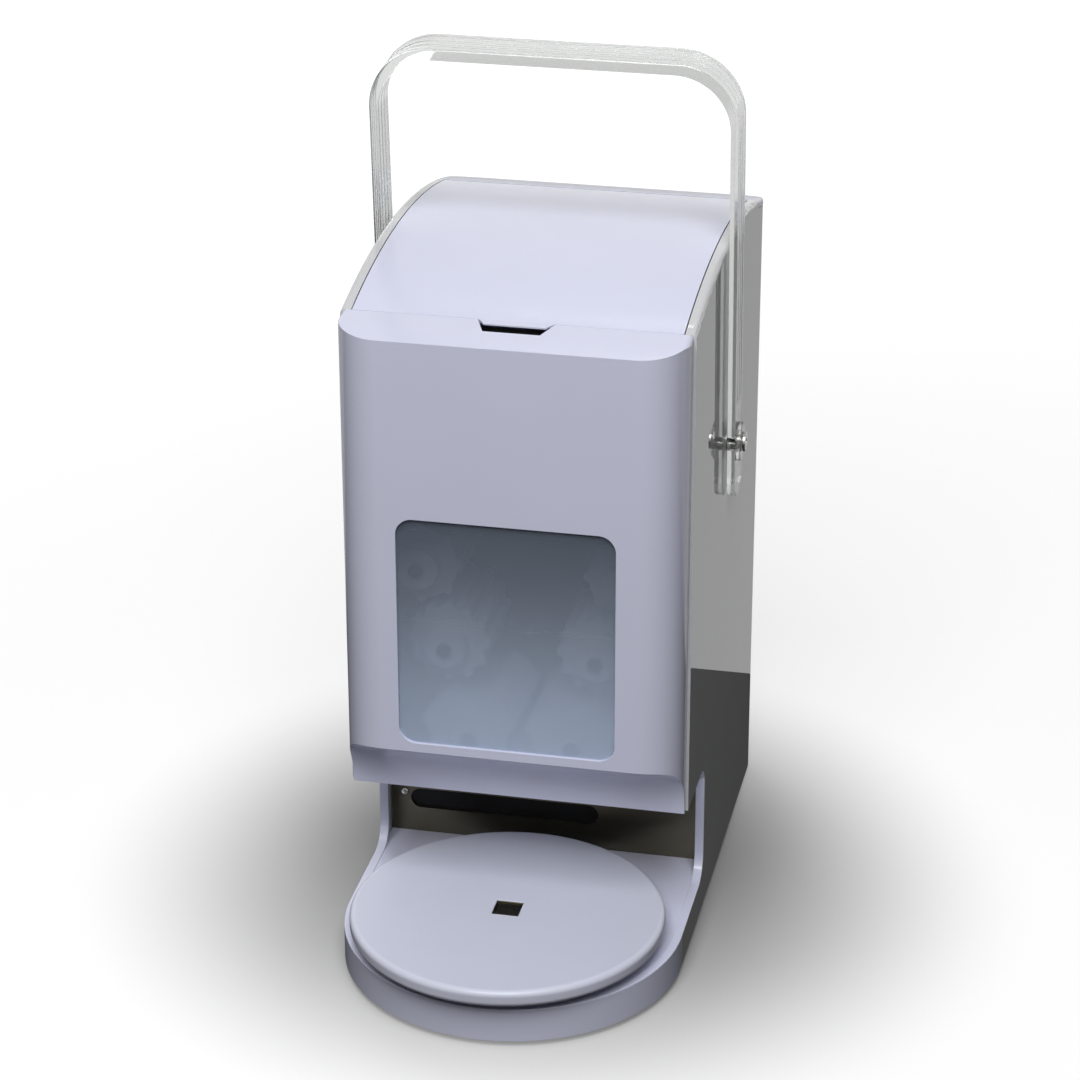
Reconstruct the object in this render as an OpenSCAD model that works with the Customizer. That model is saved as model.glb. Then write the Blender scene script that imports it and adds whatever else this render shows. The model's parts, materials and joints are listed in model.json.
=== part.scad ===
// Table-top sushi rice machine: a hopper feeds three pairs of rollers, and the
// lowest pair drops finished rice balls on a turntable. Millimetres, +Z up.
// Drawn with the front cover's face at Y = 0 and the base's lower edge at Z = 0,
// then moved so that the origin is under the middle of the whole machine.

/* [Body] */
// Width over the two side panels
body_w = 190; // [184:1:200]
// Depth from the front cover's face to the rear face
body_d = 291; // [284:1:310]
// Plan radius of the vertical corners
corner_r = 35.6; // [32:0.1:40]
// Height of the roof's crown above the lower edge
crown_z = 384.7; // [378:0.1:400]
// Distance of the roof's crown behind the front face
crown_y = 140; // [132:1:150]
// Radius of the roof's arc
roof_r = 450; // [430:1:520]
// Rounding along the roof's long edges
roof_edge = 3; // [1.5:0.1:4]
// Thickness of the moulded panels
wall = 2.5; // [2:0.1:3]
// Seam between two panels
seam = 0.3; // [0.2:0.05:0.5]
// Height of the rubber feet
foot_h = 4; // [3:0.5:8]
// Radius of the rubber feet
foot_r = 9; // [7:0.5:11]

/* [Base] */
// Centre of the round nose of the base, behind the front face
nose_y = 18; // [14:0.5:22]
// Height of the tray's deck
deck_z = 19.5; // [18:0.1:22]
// Thickness of the tray's deck
deck_t = 2.5; // [2:0.1:3]
// Thickness of the steel bottom plate
bottom_t = 1.6; // [1.2:0.1:2]

/* [Side cut-out] */
// Rear edge of the cut-out in the side panels
cut_y = 88; // [80:1:94]
// Corner radius of the cut-out
cut_r = 14; // [10:0.5:18]
// Width of the lip turned in around the cut-out
lip_w = 5; // [4:0.5:5.5]

/* [Front cover] */
// Depth of the cover's sides
cover_d = 31; // [28:0.5:32]
// Step from the side panel's face in to the cover's side
cover_step = 1.5; // [1:0.1:2]
// Plan radius of the cover's front corners
cover_r = 25; // [20:0.5:30]
// Height of the cover's top along its front edge
brow_z = 367.5; // [364:0.5:369]
// Height of the cover's lower lip
lip_z = 91.5; // [86:0.5:96]
// Height of the crease above the hollow chin
crease_z = 129; // [124:0.5:132]
// Set-back of the lower lip behind the front face
lip_y = 28; // [25:0.5:28]
// Distance from the cover's side to the window
win_side = 34; // [33:0.5:40]
// Lower edge of the window
win_z0 = 134.2; // [134:0.1:140]
// Upper edge of the window
win_z1 = 267.5; // [255:0.5:275]
// Corner radius of the window
win_r = 9.5; // [6:0.5:14]
// Thickness of the window pane
pane_t = 2.5; // [2:0.1:3]
// Overlap of the pane behind the window's edge
pane_lap = 3; // [2:0.5:3.5]
// Travel of the cover when it is drawn off
cover_travel = 120; // [80:5:200]

/* [Lid] */
// Front edge of the lid
lid_y0 = 31.4; // [31.4:0.1:34]
// Depth of the fixed strip of roof behind the lid
rear_strip = 49; // [44:0.5:54]
// Width of the roof's rail on each side of the lid
rail_w = 6; // [5.5:0.1:9]
// Thickness of the lid
lid_t = 3; // [2.5:0.1:4]
// Width of the finger tab at its root
tab_w = 40.6; // [30:0.2:50]
// Length of the finger tab
tab_l = 5; // [4:0.1:7]
// Length of the finger recess in front of the lid
recess_l = 13.4; // [12:0.2:16]
// Depth of the finger recess
recess_deep = 8; // [6:0.5:9]
// Angle to which the lid opens under the handle
lid_open = 32; // [20:1:36]
// Radius of the hinge pins
pin_r = 1.25; // [1:0.05:1.4]

/* [Handle] */
// Height of the handle's pivot
pivot_z = 265; // [258:1:272]
// Distance of the handle's pivot behind the front face
pivot_y = 146; // [140:1:152]
// Distance from the pivot to the top of the handle
handle_reach = 224.5; // [216:0.5:235]
// Width of the handle's strap
strap_w = 24; // [20:0.5:26]
// Thickness of the strap's legs
strap_t = 4.5; // [3.5:0.1:5]
// Thickness of the strap's top bar
bar_t = 6.7; // [5:0.1:8]
// Gap between the side panel and the handle's leg
strap_gap = 1.35; // [1:0.05:3]
// Outer corner radius of the handle
handle_r = 35; // [26:1:40]
// Length of the leg below the pivot
tail_l = 33; // [28:1:36]
// Forward lean of the handle at rest
handle_lean = 3.8; // [0:0.1:5]
// Radius of the handle's pivot screws
pivot_r = 4; // [3:0.1:4.5]

/* [Turntable] */
// Distance from the base's rim in to the turntable's rim
disc_in = 7.6; // [7:0.1:12]
// Centre of the turntable, behind the front face
disc_y = 1; // [0:0.5:4]
// Thickness of the turntable
disc_t = 10; // [8:0.5:12]
// Gap between the deck and the turntable
disc_gap = 6.8; // [5:0.1:8]
// Rounding of the turntable's rim
disc_edge = 3.5; // [2:0.1:3.9]
// Side of the turntable's square hole
hub_w = 15; // [12:0.5:18]
// Radius of the turntable's pulley
table_pulley_r = 30; // [26:1:34]
// Radius of the pulley on the turntable's motor
table_pinion_r = 10; // [9:0.5:12]
// Distance of the turntable's motor behind the front face
table_motor_y = 150; // [142:1:156]

/* [Rollers] */
// Front face of the steel back plate
plate_y = 104; // [100:0.5:108]
// Thickness of the steel back plate and the bearing plate
plate_t = 2; // [1.5:0.1:2.5]
// Distance from the back plate to the bearing plate
plate_gap = 27; // [26:0.5:30]
// Height of the forming rollers' shafts
form_z = 120; // [118:0.5:123]
// Feed roller's distance from the middle
feed_x = 42; // [41:0.5:43]
// Height of the feed rollers' shafts
feed_z = 175.5; // [174:0.5:178]
// Radius over the feed roller's lobes
feed_r = 23.5; // [21:0.1:23.8]
// Agitator roller's distance from the middle
agit_x = 57; // [56:0.5:59]
// Height of the agitator rollers' shafts
agit_z = 222; // [221.5:0.5:224]
// Radius over the agitator roller's lobes
agit_r = 24; // [21:0.1:24.4]
// Front face of the forming rollers
roller_y = 34; // [33.6:0.1:36]
// Front face of the feed and agitator rollers
feed_y = 44; // [40:0.5:50]
// Radius of the roller shafts
shaft_r = 4; // [3:0.1:4.5]
// Running clearance of a shaft in its bush
run_c = 0.05; // [0.02:0.01:0.09]
// Gear module
gear_m = 2; // [1.95:0.01:2.05]
// Teeth on each forming roller's gear
gear_n = 29; // [29:2:31]
// Teeth on the motor's pinion
pinion_n = 17; // [17:2:19]
// Width of the gears
gear_w = 8; // [6:0.5:9]
// Radius of the belt pulleys on the shafts
pulley_r = 12; // [10:0.5:13]
// Thickness of the drive belts
belt_t = 1.5; // [1.2:0.1:2]
// Width of the drive belts
belt_w = 6; // [5:0.5:6.5]

/* [Hopper] */
// Height of the hopper's outlet
outlet_z = 250; // [249:0.5:254]
// Half the width of the hopper's outlet
outlet_x = 62; // [58:1:66]
// Wall of the hopper
hopper_t = 2; // [1.5:0.1:2.5]
// Depth of the hopper's rim below the roof
rim_drop = 11; // [10:0.5:14]

/* [Controls] */
// Height of the row of controls on the rear panel
control_z = 120; // [105:1:140]
// Distance of the outer controls in from the rear panel's edge
control_in = 25.4; // [22:0.1:29]
// Radius of the size dial
dial_r = 11; // [9:0.5:12]
// Length of the size dial
dial_l = 12; // [8:0.5:16]
// Radius of the start button
button_r = 8; // [6:0.5:9]

/* [Hidden] */
$fn = 72;
WHITE = "#e4e5f0";
GREY = "#b9bab6";
STEEL = "#8d8f8c";
half_w = body_w / 2;
cover_half = half_w - cover_step;
roof_mid = [crown_y, crown_z - roof_r];
brow_rise = arc_z(lid_y0) - brow_z;
brow_l = norm([lid_y0, brow_rise]);
brow_drop = sqrt(pow(roof_r, 2) - pow(brow_l / 2, 2)) / brow_l;
brow_mid = [lid_y0 / 2 + brow_drop * brow_rise, brow_z + brow_rise / 2 - brow_drop * lid_y0];
lid_half = half_w - rail_w;
lid_y1 = body_d - rear_strip;
hinge_y = lid_y1 - lid_t;
hinge_z = arc_z(hinge_y, lid_t);
cove_r = (lip_y * lip_y + pow(crease_z - lip_z, 2)) / (2 * lip_y);
cove_y = lip_y - cove_r;
disc_r = half_w - disc_in;
disc_z = deck_z + disc_gap;
disc_top = disc_z + disc_t;
plate_back = plate_y + plate_t;
bearing_y = plate_back + plate_gap - plate_t;
bearing_back = bearing_y + plate_t;
form_x = gear_n * gear_m / 2;
roller_end = plate_y - 5;
roller_clear = 0.15;
gear_y = plate_back + 2.5;
pulley_y = gear_y + gear_w + 2.5;
cap_drop = 4;
rear_half = half_w - corner_r;
control_x = rear_half - control_in;
rear_front = body_d - wall;
strap_in = half_w + strap_gap;
strap_out = strap_in + strap_t;
cap_t = 2.4;
skirt_in = 4;
mesh_k = 4;
mesh_angle = mesh_k * 360 / gear_n;
pinion_reach = (gear_n + pinion_n) * gear_m / 2;
pinion_x = form_x + pinion_reach * cos(mesh_angle);
pinion_z = form_z - pinion_reach * sin(mesh_angle);
guard_y = cover_d + 0.3;
guard_t = 2;
table_z = bottom_t + 4;
bush_z = table_z + 8.5;
board_y = rear_front - 9.6;
front_y = disc_y - disc_r;
mid_y = (front_y + body_d + dial_l) / 2;
shaft_spots = [[form_x, form_z], [feed_x, feed_z], [agit_x, agit_z]];
inlet_z = 46;
screw_r = 1.5;
panel_gap = wall + seam;
hopper_y0 = cover_d + 5;
hopper_y1 = lid_y1 - 4;
win_w = 2 * (cover_half - win_side);
pane_half = win_w / 2 + pane_lap;
pane_arc = max(0, pane_half - cover_half + cover_r);
pane_y = cover_r - sqrt(pow(cover_r - wall, 2) - pow(pane_arc, 2)) + run_c;
plate_half = half_w - panel_gap;
bearing_half = plate_half - 4.2;
bearing_z = pinion_z - 21;
slot_x0 = -half_w + 20.7;
slot_x1 = half_w - 70.4;
slot_z = 41.2;
slot_r = 6.2;
slot_lap = 1.8;
supply = [50, 90, 38];
board = [100, 1.6, 135];
board_feet = [[-25, 50], [25, 50], [-25, 165], [25, 165]];
ear_r = pin_r + 0.85;
ear_w = 4;
arm_drop = 0.6;
rocker_y = body_d - 6;
rocker_pin_r = 1;
rocker_tilt = 8;
tab_z = arc_z(lid_y0 - tab_l, 0, brow_mid);
head_r = 2.5;
front_bush_r = 7;
rear_bush_r = 6;
gearbox = [26, 25];
roller_can = [22, 50];
table_gearbox = [18, 20];
table_can = [15, 32];
bracket = [52, 40, 16];
low_screw_x = plate_half - 8;
rear_screw_x = rear_half - 7;
hopper_side = half_w - 9;
socket = [27.4, 19.4];

// Height of an arc that lies depth under the roof, at distance y behind the front face. Its
// middle is the roof's, or that of the flatter brow over the front cover.
function arc_z(y, depth = 0, mid = roof_mid) =
    mid[1] + sqrt(pow(roof_r - depth, 2) - pow(y - mid[0], 2));
// Involute angle in degrees of a pressure angle in degrees
function inv_deg(a) = tan(a) * 180 / PI - a;

// Moves a piece from the drawing's place to the part's own frame
module placed() {
    translate([0, -mid_y, foot_h]) children();
}
// Plan drawing in X and Z, made solid from y0 back to y1
module along_y(y0, y1) {
    translate([0, y1, 0]) rotate([90, 0, 0]) linear_extrude(y1 - y0) children();
}
// Side drawing in Y and Z, made solid from x0 to x1
module along_x(x0, x1) {
    translate([x0, 0, 0]) rotate([90, 0, 90]) linear_extrude(x1 - x0) children();
}
// Round bar along Y
module bar_y(x, z, r, y0, y1) {
    translate([x, y0, z]) rotate([-90, 0, 0]) cylinder(r = r, h = y1 - y0);
}
// Round bar along X
module bar_x(y, z, r, x0, x1) {
    translate([x0, y, z]) rotate([0, 90, 0]) cylinder(r = r, h = x1 - x0);
}
// The same piece on both sides of the middle
module both() {
    children();
    mirror([1, 0, 0]) children();
}
// Rectangle with round corners
module round_rect(x0, x1, y0, y1, r) {
    translate([x0 + r, y0]) square([x1 - x0 - 2 * r, y1 - y0]);
    translate([x0, y0 + r]) square([x1 - x0, y1 - y0 - 2 * r]);
    for (x = [x0 + r, x1 - r], y = [y0 + r, y1 - r]) translate([x, y]) circle(r);
}
// Solid disc under the roof's arc, with its rims rounded
module roof_disc(depth = 0, half = 300, edge = 0, mid = roof_mid) {
    r = roof_r - depth;
    translate([0, mid[0], mid[1]]) rotate([0, 90, 0]) rotate_extrude($fn = 360) {
        translate([0, -half + edge]) square([r, 2 * (half - edge)]);
        if (edge > 0) {
            translate([0, -half]) square([r - edge, 2 * half]);
            for (s = [-1, 1]) translate([r - edge, s * (half - edge)]) circle(edge, $fn = 48);
        }
    }
}
// Plan of the body behind the nose, drawn in by a margin
module body_plan(margin = 0) {
    h = half_w - margin;
    r = corner_r - margin;
    translate([-h, nose_y]) square([2 * h, body_d - corner_r - nose_y]);
    translate([-(h - r), nose_y]) square([2 * (h - r), body_d - margin - nose_y]);
    for (s = [-1, 1]) translate([s * (h - r), body_d - corner_r]) circle(r);
}
// Plan of the front cover, drawn in by a margin
module cover_plan(margin = 0, back = cover_d) {
    h = cover_half - margin;
    r = cover_r - margin;
    intersection() {
        translate([-h, margin]) square([2 * h, back - margin]);
        union() {
            for (s = [-1, 1]) translate([s * (h - r), margin + r]) circle(r);
            translate([-(h - r), margin]) square([2 * (h - r), 2 * back]);
            translate([-h, margin + r]) square([2 * h, 2 * back]);
        }
    }
}
// Outline of the opening in the side panels, grown by a margin
module cut_outline(grow = 0) {
    z0 = deck_z - grow;
    z1 = lip_z + 0.5 + grow;
    y1 = cut_y + grow;
    r = cut_r + grow;
    translate([-150, z0]) square([150 + y1 - r, z1 - z0]);
    translate([y1 - 2 * r, z0 + r]) square([2 * r, z1 - z0 - 2 * r]);
    for (z = [z0 + r, z1 - r]) translate([y1 - r, z]) circle(r);
}

// Right side panel; the left one is its mirror
module side_panel() {
    difference() {
        intersection() {
            union() {
                difference() {
                    linear_extrude(crown_z + 1) difference() {
                        body_plan();
                        body_plan(wall);
                        translate([-300, 0]) square([300 + rear_half, 400]);
                    }
                }
                difference() {
                    translate([lid_half, cover_d + seam, 250])
                        cube([half_w - lid_half, lid_y1 - cover_d - seam, 200]);
                    roof_disc(wall);
                }
                along_x(half_w - lip_w, half_w - 0.1) difference() {
                    intersection() {
                        cut_outline(wall);
                        translate([nose_y, deck_z + seam]) square([200, 200]);
                    }
                    cut_outline();
                }
                translate([rear_half - 12, rear_front - seam - wall, bottom_t + seam])
                    cube([20, wall, rear_top() - bottom_t - seam]);
            }
            roof_disc(0, half_w, roof_edge);
        }
        along_x(0, 300) cut_outline();
        translate([0, 0, -1]) cube([300, nose_y + seam, 400]);
        translate([0, -1, lip_z]) cube([300, cover_d + seam + 1, 400]);
        difference() {
            translate([0, lid_y1 + seam, 200]) cube([300, 300, 300]);
            roof_disc(cap_drop + seam);
        }
        bar_x(pivot_y, pivot_z, pivot_r + run_c, 0, 300);
        for (z = rear_screw_z()) bar_y(rear_screw_x, z, screw_r, body_d - 20, body_d + 1);
    }
}
function rear_top() = arc_z(body_d, cap_drop) - 3;
function rear_screw_z() = [18, control_z + 50, rear_top() - 12];

module side_panel_left() {
    color(WHITE) placed() mirror([1, 0, 0]) side_panel();
}
module side_panel_right() {
    color(WHITE) placed() side_panel();
}

module base_plate() {
    color(STEEL) placed() difference() {
        linear_extrude(bottom_t) bottom_plan(panel_gap);
        for (p = foot_spots()) translate([p[0], p[1], -1]) cylinder(r = screw_r, h = 9);
    }
}
module bottom_plan(margin) {
    body_plan(margin);
    translate([0, nose_y]) circle(half_w - margin);
}
function front_feet() = [for (s = [-1, 1]) [s * (half_w - 35), -8]];
function foot_spots() = concat(front_feet(), [for (s = [-1, 1]) [s * (half_w - 25), body_d - 40]]);

// Moulded tray: round nose, flat deck and the boss of the turntable's bush
module base_tray() {
    color(WHITE) placed() difference() {
        union() {
            difference() {
                linear_extrude(deck_z) tray_plan(0);
                translate([0, 0, -1]) linear_extrude(deck_z - deck_t + 1) tray_plan(wall);
            }
            translate([0, disc_y, bush_z]) cylinder(r = 13, h = deck_z - bush_z);
            for (p = front_feet()) translate([p[0], p[1], bottom_t])
                cylinder(r = 5, h = deck_z - bottom_t - 1);
        }
        translate([0, disc_y, 0]) cylinder(r = 7, h = 60);
        for (p = front_feet()) translate([p[0], p[1], 0]) cylinder(r = screw_r, h = deck_z - 5);
        translate([0, plate_y - 20, bottom_t]) belt_slot();
        translate([0, 0, -1]) linear_extrude(bottom_t + 1) bottom_plan(wall);
    }
}
module tray_plan(margin) {
    difference() {
        union() {
            translate([0, nose_y]) circle(half_w - margin);
            translate([-half_w + panel_gap + margin, nose_y])
                square([body_w - 2 * panel_gap - 2 * margin, plate_y - margin - nose_y]);
        }
        for (s = [-1, 1]) translate([s * (half_w + 50 - panel_gap - margin), nose_y + 50 - margin])
            square([100, 100], center = true);
        translate([-200, plate_y - margin]) square([400, 200]);
    }
}
// Room for the turntable's belt in the tray's rear wall and the back plate
module belt_slot() {
    translate([-table_pulley_r + 6, 0, 1.2]) cube([2 * table_pulley_r - 12, 40, 10.5]);
}

module rear_panel() {
    color(WHITE) placed() difference() {
        union() {
            translate([-rear_half + seam, rear_front, seam])
                cube([2 * (rear_half - seam), wall, rear_top() - seam]);
            for (p = board_feet) bar_y(p[0], control_z + p[1], 3, board_y + board[1], rear_front + 1);
        }
        for (z = rear_screw_z()) both() bar_y(rear_screw_x, z, screw_r, 0, body_d + 1);
        translate([-control_x - 8, 0, control_z - 11]) cube([16, 400, 22]);
        bar_y(0, control_z, button_r + 0.3, body_d - 10, body_d + 1);
        bar_y(control_x, control_z, 3 + run_c, body_d - 10, body_d + 1);
        translate([-14, 0, inlet_z - 10]) cube([28, 400, 20]);
    }
}

module roof_cap() {
    color(WHITE) placed() difference() {
        intersection() {
            linear_extrude(crown_z + 1) body_plan();
            roof_disc(0, half_w, roof_edge);
            translate([-200, lid_y1 + seam, 300]) cube([400, 200, 200]);
        }
        intersection() {
            linear_extrude(crown_z + 1) body_plan(wall);
            roof_disc(wall);
            translate([-200, lid_y1, 200]) cube([400, 200, 300]);
        }
        roof_disc(cap_drop);
    }
}

// Front face of the steel plate carries the sensor's slot and the front bushes
module back_plate() {
    color("#6f7065") placed() difference() {
        along_y(plate_y, plate_back) difference() {
            translate([-plate_half, bottom_t]) square([2 * plate_half, outlet_z - bottom_t - seam]);
            translate([slot_x0, slot_z - slot_r]) square([slot_x1 - slot_x0, 2 * slot_r]);
            for (x = [slot_x0, slot_x1]) translate([x, slot_z]) circle(slot_r);
            both() for (p = shaft_spots) translate(p) circle(front_bush_r);
            both() for (p = post_spots()) translate(p) circle(screw_r);
            for (p = low_spots()) translate(p) circle(screw_r);
        }
        translate([0, plate_y - 20, bottom_t]) belt_slot();
    }
}
// The left one shows below the cover, and the right one sits higher, behind its lip
function low_spots() = [[-low_screw_x, slot_z + 4], [low_screw_x, slot_z + 23]];
// Posts between the two plates
function post_spots() = [[low_screw_x - 0.2, 150], [30, 238], [9, 156]];

module bearing_plate() {
    color(STEEL) placed() along_y(bearing_y, bearing_back) difference() {
        round_rect(-bearing_half, bearing_half, bearing_z, agit_z + 22, 6);
        both() for (p = shaft_spots) translate(p) circle(rear_bush_r);
        both() for (p = post_spots()) translate(p) circle(screw_r);
        translate([pinion_x, pinion_z]) circle(10);
    }
}

module plate_spacers() {
    color(STEEL) placed() both() for (p = post_spots()) difference() {
        bar_y(p[0], p[1], 4, plate_back, bearing_y);
        bar_y(p[0], p[1], screw_r, plate_back - 1, plate_back + 8);
    }
}

module plate_screws() {
    color("#9a9a94") placed() {
        both() for (p = post_spots()) plate_screw(p);
        for (p = low_spots()) plate_screw(p);
    }
}
module plate_screw(p) {
    bar_y(p[0], p[1], head_r, plate_y - 1.6, plate_y);
    bar_y(p[0], p[1], screw_r - 0.05, plate_y - 1, plate_back + 6);
}

// Tub with a sloping rear floor, open above and over the agitator rollers
module hopper() {
    color("#dfe1e6") placed() difference() {
        union() {
            hopper_solid(0);
            difference() {
                translate([-plate_half, hopper_y0, 300])
                    cube([2 * plate_half, hopper_y1 - hopper_y0, 90]);
                roof_disc(rim_drop + hopper_t);
            }
        }
        hopper_solid(hopper_t);
        roof_disc_above(rim_drop);
    }
}
module hopper_solid(t) {
    top = crown_z + t;
    x_top = hopper_side - t;
    intersection() {
        along_x(-200, 200) polygon([[hopper_y0 + t, outlet_z - t], [hopper_y0 + t, top],
            [hopper_y1 - t, top], [hopper_y1 - t, outlet_z + 56], [plate_y + 6 - t, outlet_z + t / 2],
            [plate_y + 6 - t, outlet_z - t]]);
        along_y(0, 300) polygon([[-outlet_x + t, outlet_z - t], [-outlet_x + t, outlet_z + t / 2],
            [-x_top, outlet_z + 40], [-x_top, top], [x_top, top], [x_top, outlet_z + 40],
            [outlet_x - t, outlet_z + t / 2], [outlet_x - t, outlet_z - t]]);
    }
}
module roof_disc_above(depth) {
    difference() {
        translate([-200, -50, 200]) cube([400, 400, 300]);
        roof_disc(depth);
    }
}

// Clear plate in front of the rollers, with a bore for each shaft's end
module roller_guard() {
    color("#cfe0ea", 0.4) placed() along_y(guard_y, guard_y + guard_t) difference() {
        round_rect(-half_w + 11, half_w - 11, lip_z + 3, agit_z + 24, 5);
        both() for (p = shaft_spots) translate(p) circle(shaft_r + run_c);
        both() for (p = guard_spots()) translate(p) circle(screw_r);
    }
}
function guard_spots() = [[half_w - 17, 106], [half_w - 17, 185]];
module guard_posts() {
    color(STEEL) placed() both() for (p = guard_spots()) {
        difference() {
            bar_y(p[0], p[1], 4, guard_y + guard_t, plate_y);
            bar_y(p[0], p[1], screw_r, guard_y, guard_y + 14);
        }
    }
}

module feet() {
    color("#2b2b2d") placed() for (p = foot_spots()) translate([p[0], p[1], -foot_h]) difference() {
        cylinder(r = foot_r, h = foot_h);
        translate([0, 0, -1]) cylinder(r = 4, h = 3);
        cylinder(r = screw_r, h = 9);
    }
}
module foot_screws() {
    color(STEEL) placed() for (p = foot_spots()) translate([p[0], p[1], -foot_h + 0.5]) {
        cylinder(r = 3, h = 1.5);
        cylinder(r = screw_r - 0.05, h = foot_h + bottom_t + 3.5);
    }
}
module rear_screws() {
    color(STEEL) placed() both() for (z = rear_screw_z()) {
        bar_y(rear_screw_x, z, head_r + 0.5, body_d, body_d + 1.5);
        bar_y(rear_screw_x, z, screw_r - 0.05, body_d - 8, body_d + 0.5);
    }
}

// Socket for a removable power lead
module power_inlet() {
    color("#26272a") placed() difference() {
        union() {
            along_y(body_d, body_d + 2) translate([0, inlet_z]) square([50, 26], center = true);
            along_y(body_d - 22, body_d + 1) translate([0, inlet_z]) square(socket, center = true);
        }
        along_y(body_d - 16, body_d + 3) translate([0, inlet_z]) difference() {
            square([23, 15], center = true);
            for (s = [-1, 1]) translate([s * 6, 0]) square([2, 6], center = true);
            translate([0, 3.5]) square([2, 6], center = true);
        }
    }
}

module roller_motor() {
    color("#3c3f45") placed() difference() {
        union() {
            bar_y(pinion_x, pinion_z, gearbox[0], bearing_back, bearing_back + gearbox[1]);
            bar_y(pinion_x, pinion_z, roller_can[0], bearing_back + gearbox[1],
                bearing_back + gearbox[1] + roller_can[1]);
            bar_y(pinion_x, pinion_z, 8, bearing_y - 1, bearing_back);
        }
        bar_y(pinion_x, pinion_z, shaft_r + run_c, bearing_y - 5, bearing_back + 8);
    }
}
module motor_pinion() {
    color("#d8c98f") placed() {
        translate([pinion_x, gear_y + gear_w, pinion_z]) rotate([90, 0, 0])
            linear_extrude(gear_w) rotate(-mesh_angle) gear_plan(pinion_n);
        bar_y(pinion_x, pinion_z, shaft_r, gear_y, bearing_back + 6);
    }
}
// Involute spur gear with a tooth on the positive first axis
module gear_plan(n) {
    rp = n * gear_m / 2;
    rb = rp * cos(20);
    tip = rp + 0.9 * gear_m;
    root = rp - 1.2 * gear_m;
    slack = 0.12 / rp * 180 / PI;
    radii = [max(rb, root + 0.2), (rb + rp) / 2, rp, tip];
    turns = [for (r = radii) 90 / n - slack + inv_deg(20) - inv_deg(acos(min(1, rb / r)))];
    polygon([for (i = [0:n - 1]) let (a = i * 360 / n) each concat(
        [root * [cos(a - turns[0]), sin(a - turns[0])]],
        [for (k = [0:3]) radii[k] * [cos(a - turns[k]), sin(a - turns[k])]],
        [for (k = [3:-1:0]) radii[k] * [cos(a + turns[k]), sin(a + turns[k])]],
        [root * [cos(a + turns[0]), sin(a + turns[0])]])]);
}

module table_motor() {
    color("#3c3f45") placed() translate([0, table_motor_y, bottom_t]) difference() {
        union() {
            translate([0, 0, bracket[2]]) cylinder(r = table_gearbox[0], h = table_gearbox[1]);
            translate([0, 0, bracket[2] + table_gearbox[1]])
                cylinder(r = table_can[0], h = table_can[1]);
            translate([0, 0, bracket[2] - 3]) cylinder(r = 6, h = 3);
        }
        translate([0, 0, 12]) cylinder(r = 3 + run_c, h = 12);
    }
}
module motor_bracket() {
    color(STEEL) placed() translate([0, table_motor_y, bottom_t]) difference() {
        translate([-bracket[0] / 2, -bracket[1] / 2, 0]) cube(bracket);
        translate([2 - bracket[0] / 2, -bracket[1] / 2 - 1, -1])
            cube([bracket[0] - 4, bracket[1] + 2, bracket[2] - 1]);
        translate([0, 0, -1]) cylinder(r = 6 + run_c * 4, h = 30);
    }
}
module motor_pulley() {
    color("#b9bcc2") placed() translate([0, table_motor_y, table_z]) {
        pulley(table_pinion_r, 8);
        cylinder(r = 3, h = 18);
    }
}
// Pulley with two flanges; its belt runs between them
module pulley(r, w) {
    cylinder(r = r, h = w);
    cylinder(r = r + belt_t + 1, h = 0.8);
    translate([0, 0, w - 0.8]) cylinder(r = r + belt_t + 1, h = 0.8);
}
module table_pulley() {
    color("#b9bcc2") placed() translate([0, disc_y, table_z]) difference() {
        pulley(table_pulley_r, 8);
        translate([0, 0, -1]) cylinder(r = shaft_r, h = 20);
    }
}
// Belt round two pulleys whose centres lie a distance apart along Y
module table_belt() {
    color("#222326") placed() translate([0, 0, table_z + 1]) linear_extrude(6) difference() {
        two_pulley_loop(0.3 + belt_t);
        two_pulley_loop(0.3);
    }
}
module two_pulley_loop(grow) {
    wrap = asin((table_pulley_r - table_pinion_r) / (table_motor_y - disc_y));
    polygon(concat(
        arc_points(disc_y, table_pulley_r + grow, 180 - wrap, 360 + wrap),
        arc_points(table_motor_y, table_pinion_r + grow, wrap, 180 - wrap)));
}
// Points along an arc about a centre on the middle line
function arc_points(y, r, a0, a1, n = 30) =
    [for (i = [0:n]) let (a = a0 + (a1 - a0) * i / n) [r * cos(a), y + r * sin(a)]];

module table_bush() {
    color("#c8a86a") placed() translate([0, disc_y, 0]) difference() {
        union() {
            translate([0, 0, bush_z]) cylinder(r = 7, h = deck_z - bush_z);
            translate([0, 0, deck_z]) cylinder(r = 10, h = 1.5);
        }
        cylinder(r = shaft_r + run_c, h = 60);
    }
}
module turntable_hub() {
    color("#9fa19c") placed() translate([0, disc_y, 0]) {
        translate([0, 0, bottom_t + 2]) cylinder(r = shaft_r, h = disc_z - bottom_t - 2);
        translate([0, 0, deck_z + 1.8]) cylinder(r = 16, h = disc_gap - 1.8);
        translate([-hub_w / 2 + 0.2, -hub_w / 2 + 0.2, disc_z])
            cube([hub_w - 0.4, hub_w - 0.4, disc_t - 3]);
    }
}
module turntable() {
    color("#dfe1ea") placed() translate([0, disc_y, disc_z]) difference() {
        rotate_extrude($fn = 144) difference() {
            union() {
                square([disc_r - disc_edge, disc_t]);
                translate([0, disc_edge]) square([disc_r, disc_t - 2 * disc_edge]);
                for (z = [disc_edge, disc_t - disc_edge])
                    translate([disc_r - disc_edge, z]) circle(disc_edge, $fn = 48);
            }
            translate([-disc_r, -1]) square([disc_r, disc_t + 2]);
        }
        translate([-hub_w / 2, -hub_w / 2, -1]) cube([hub_w, hub_w, disc_t + 2]);
    }
}

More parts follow.
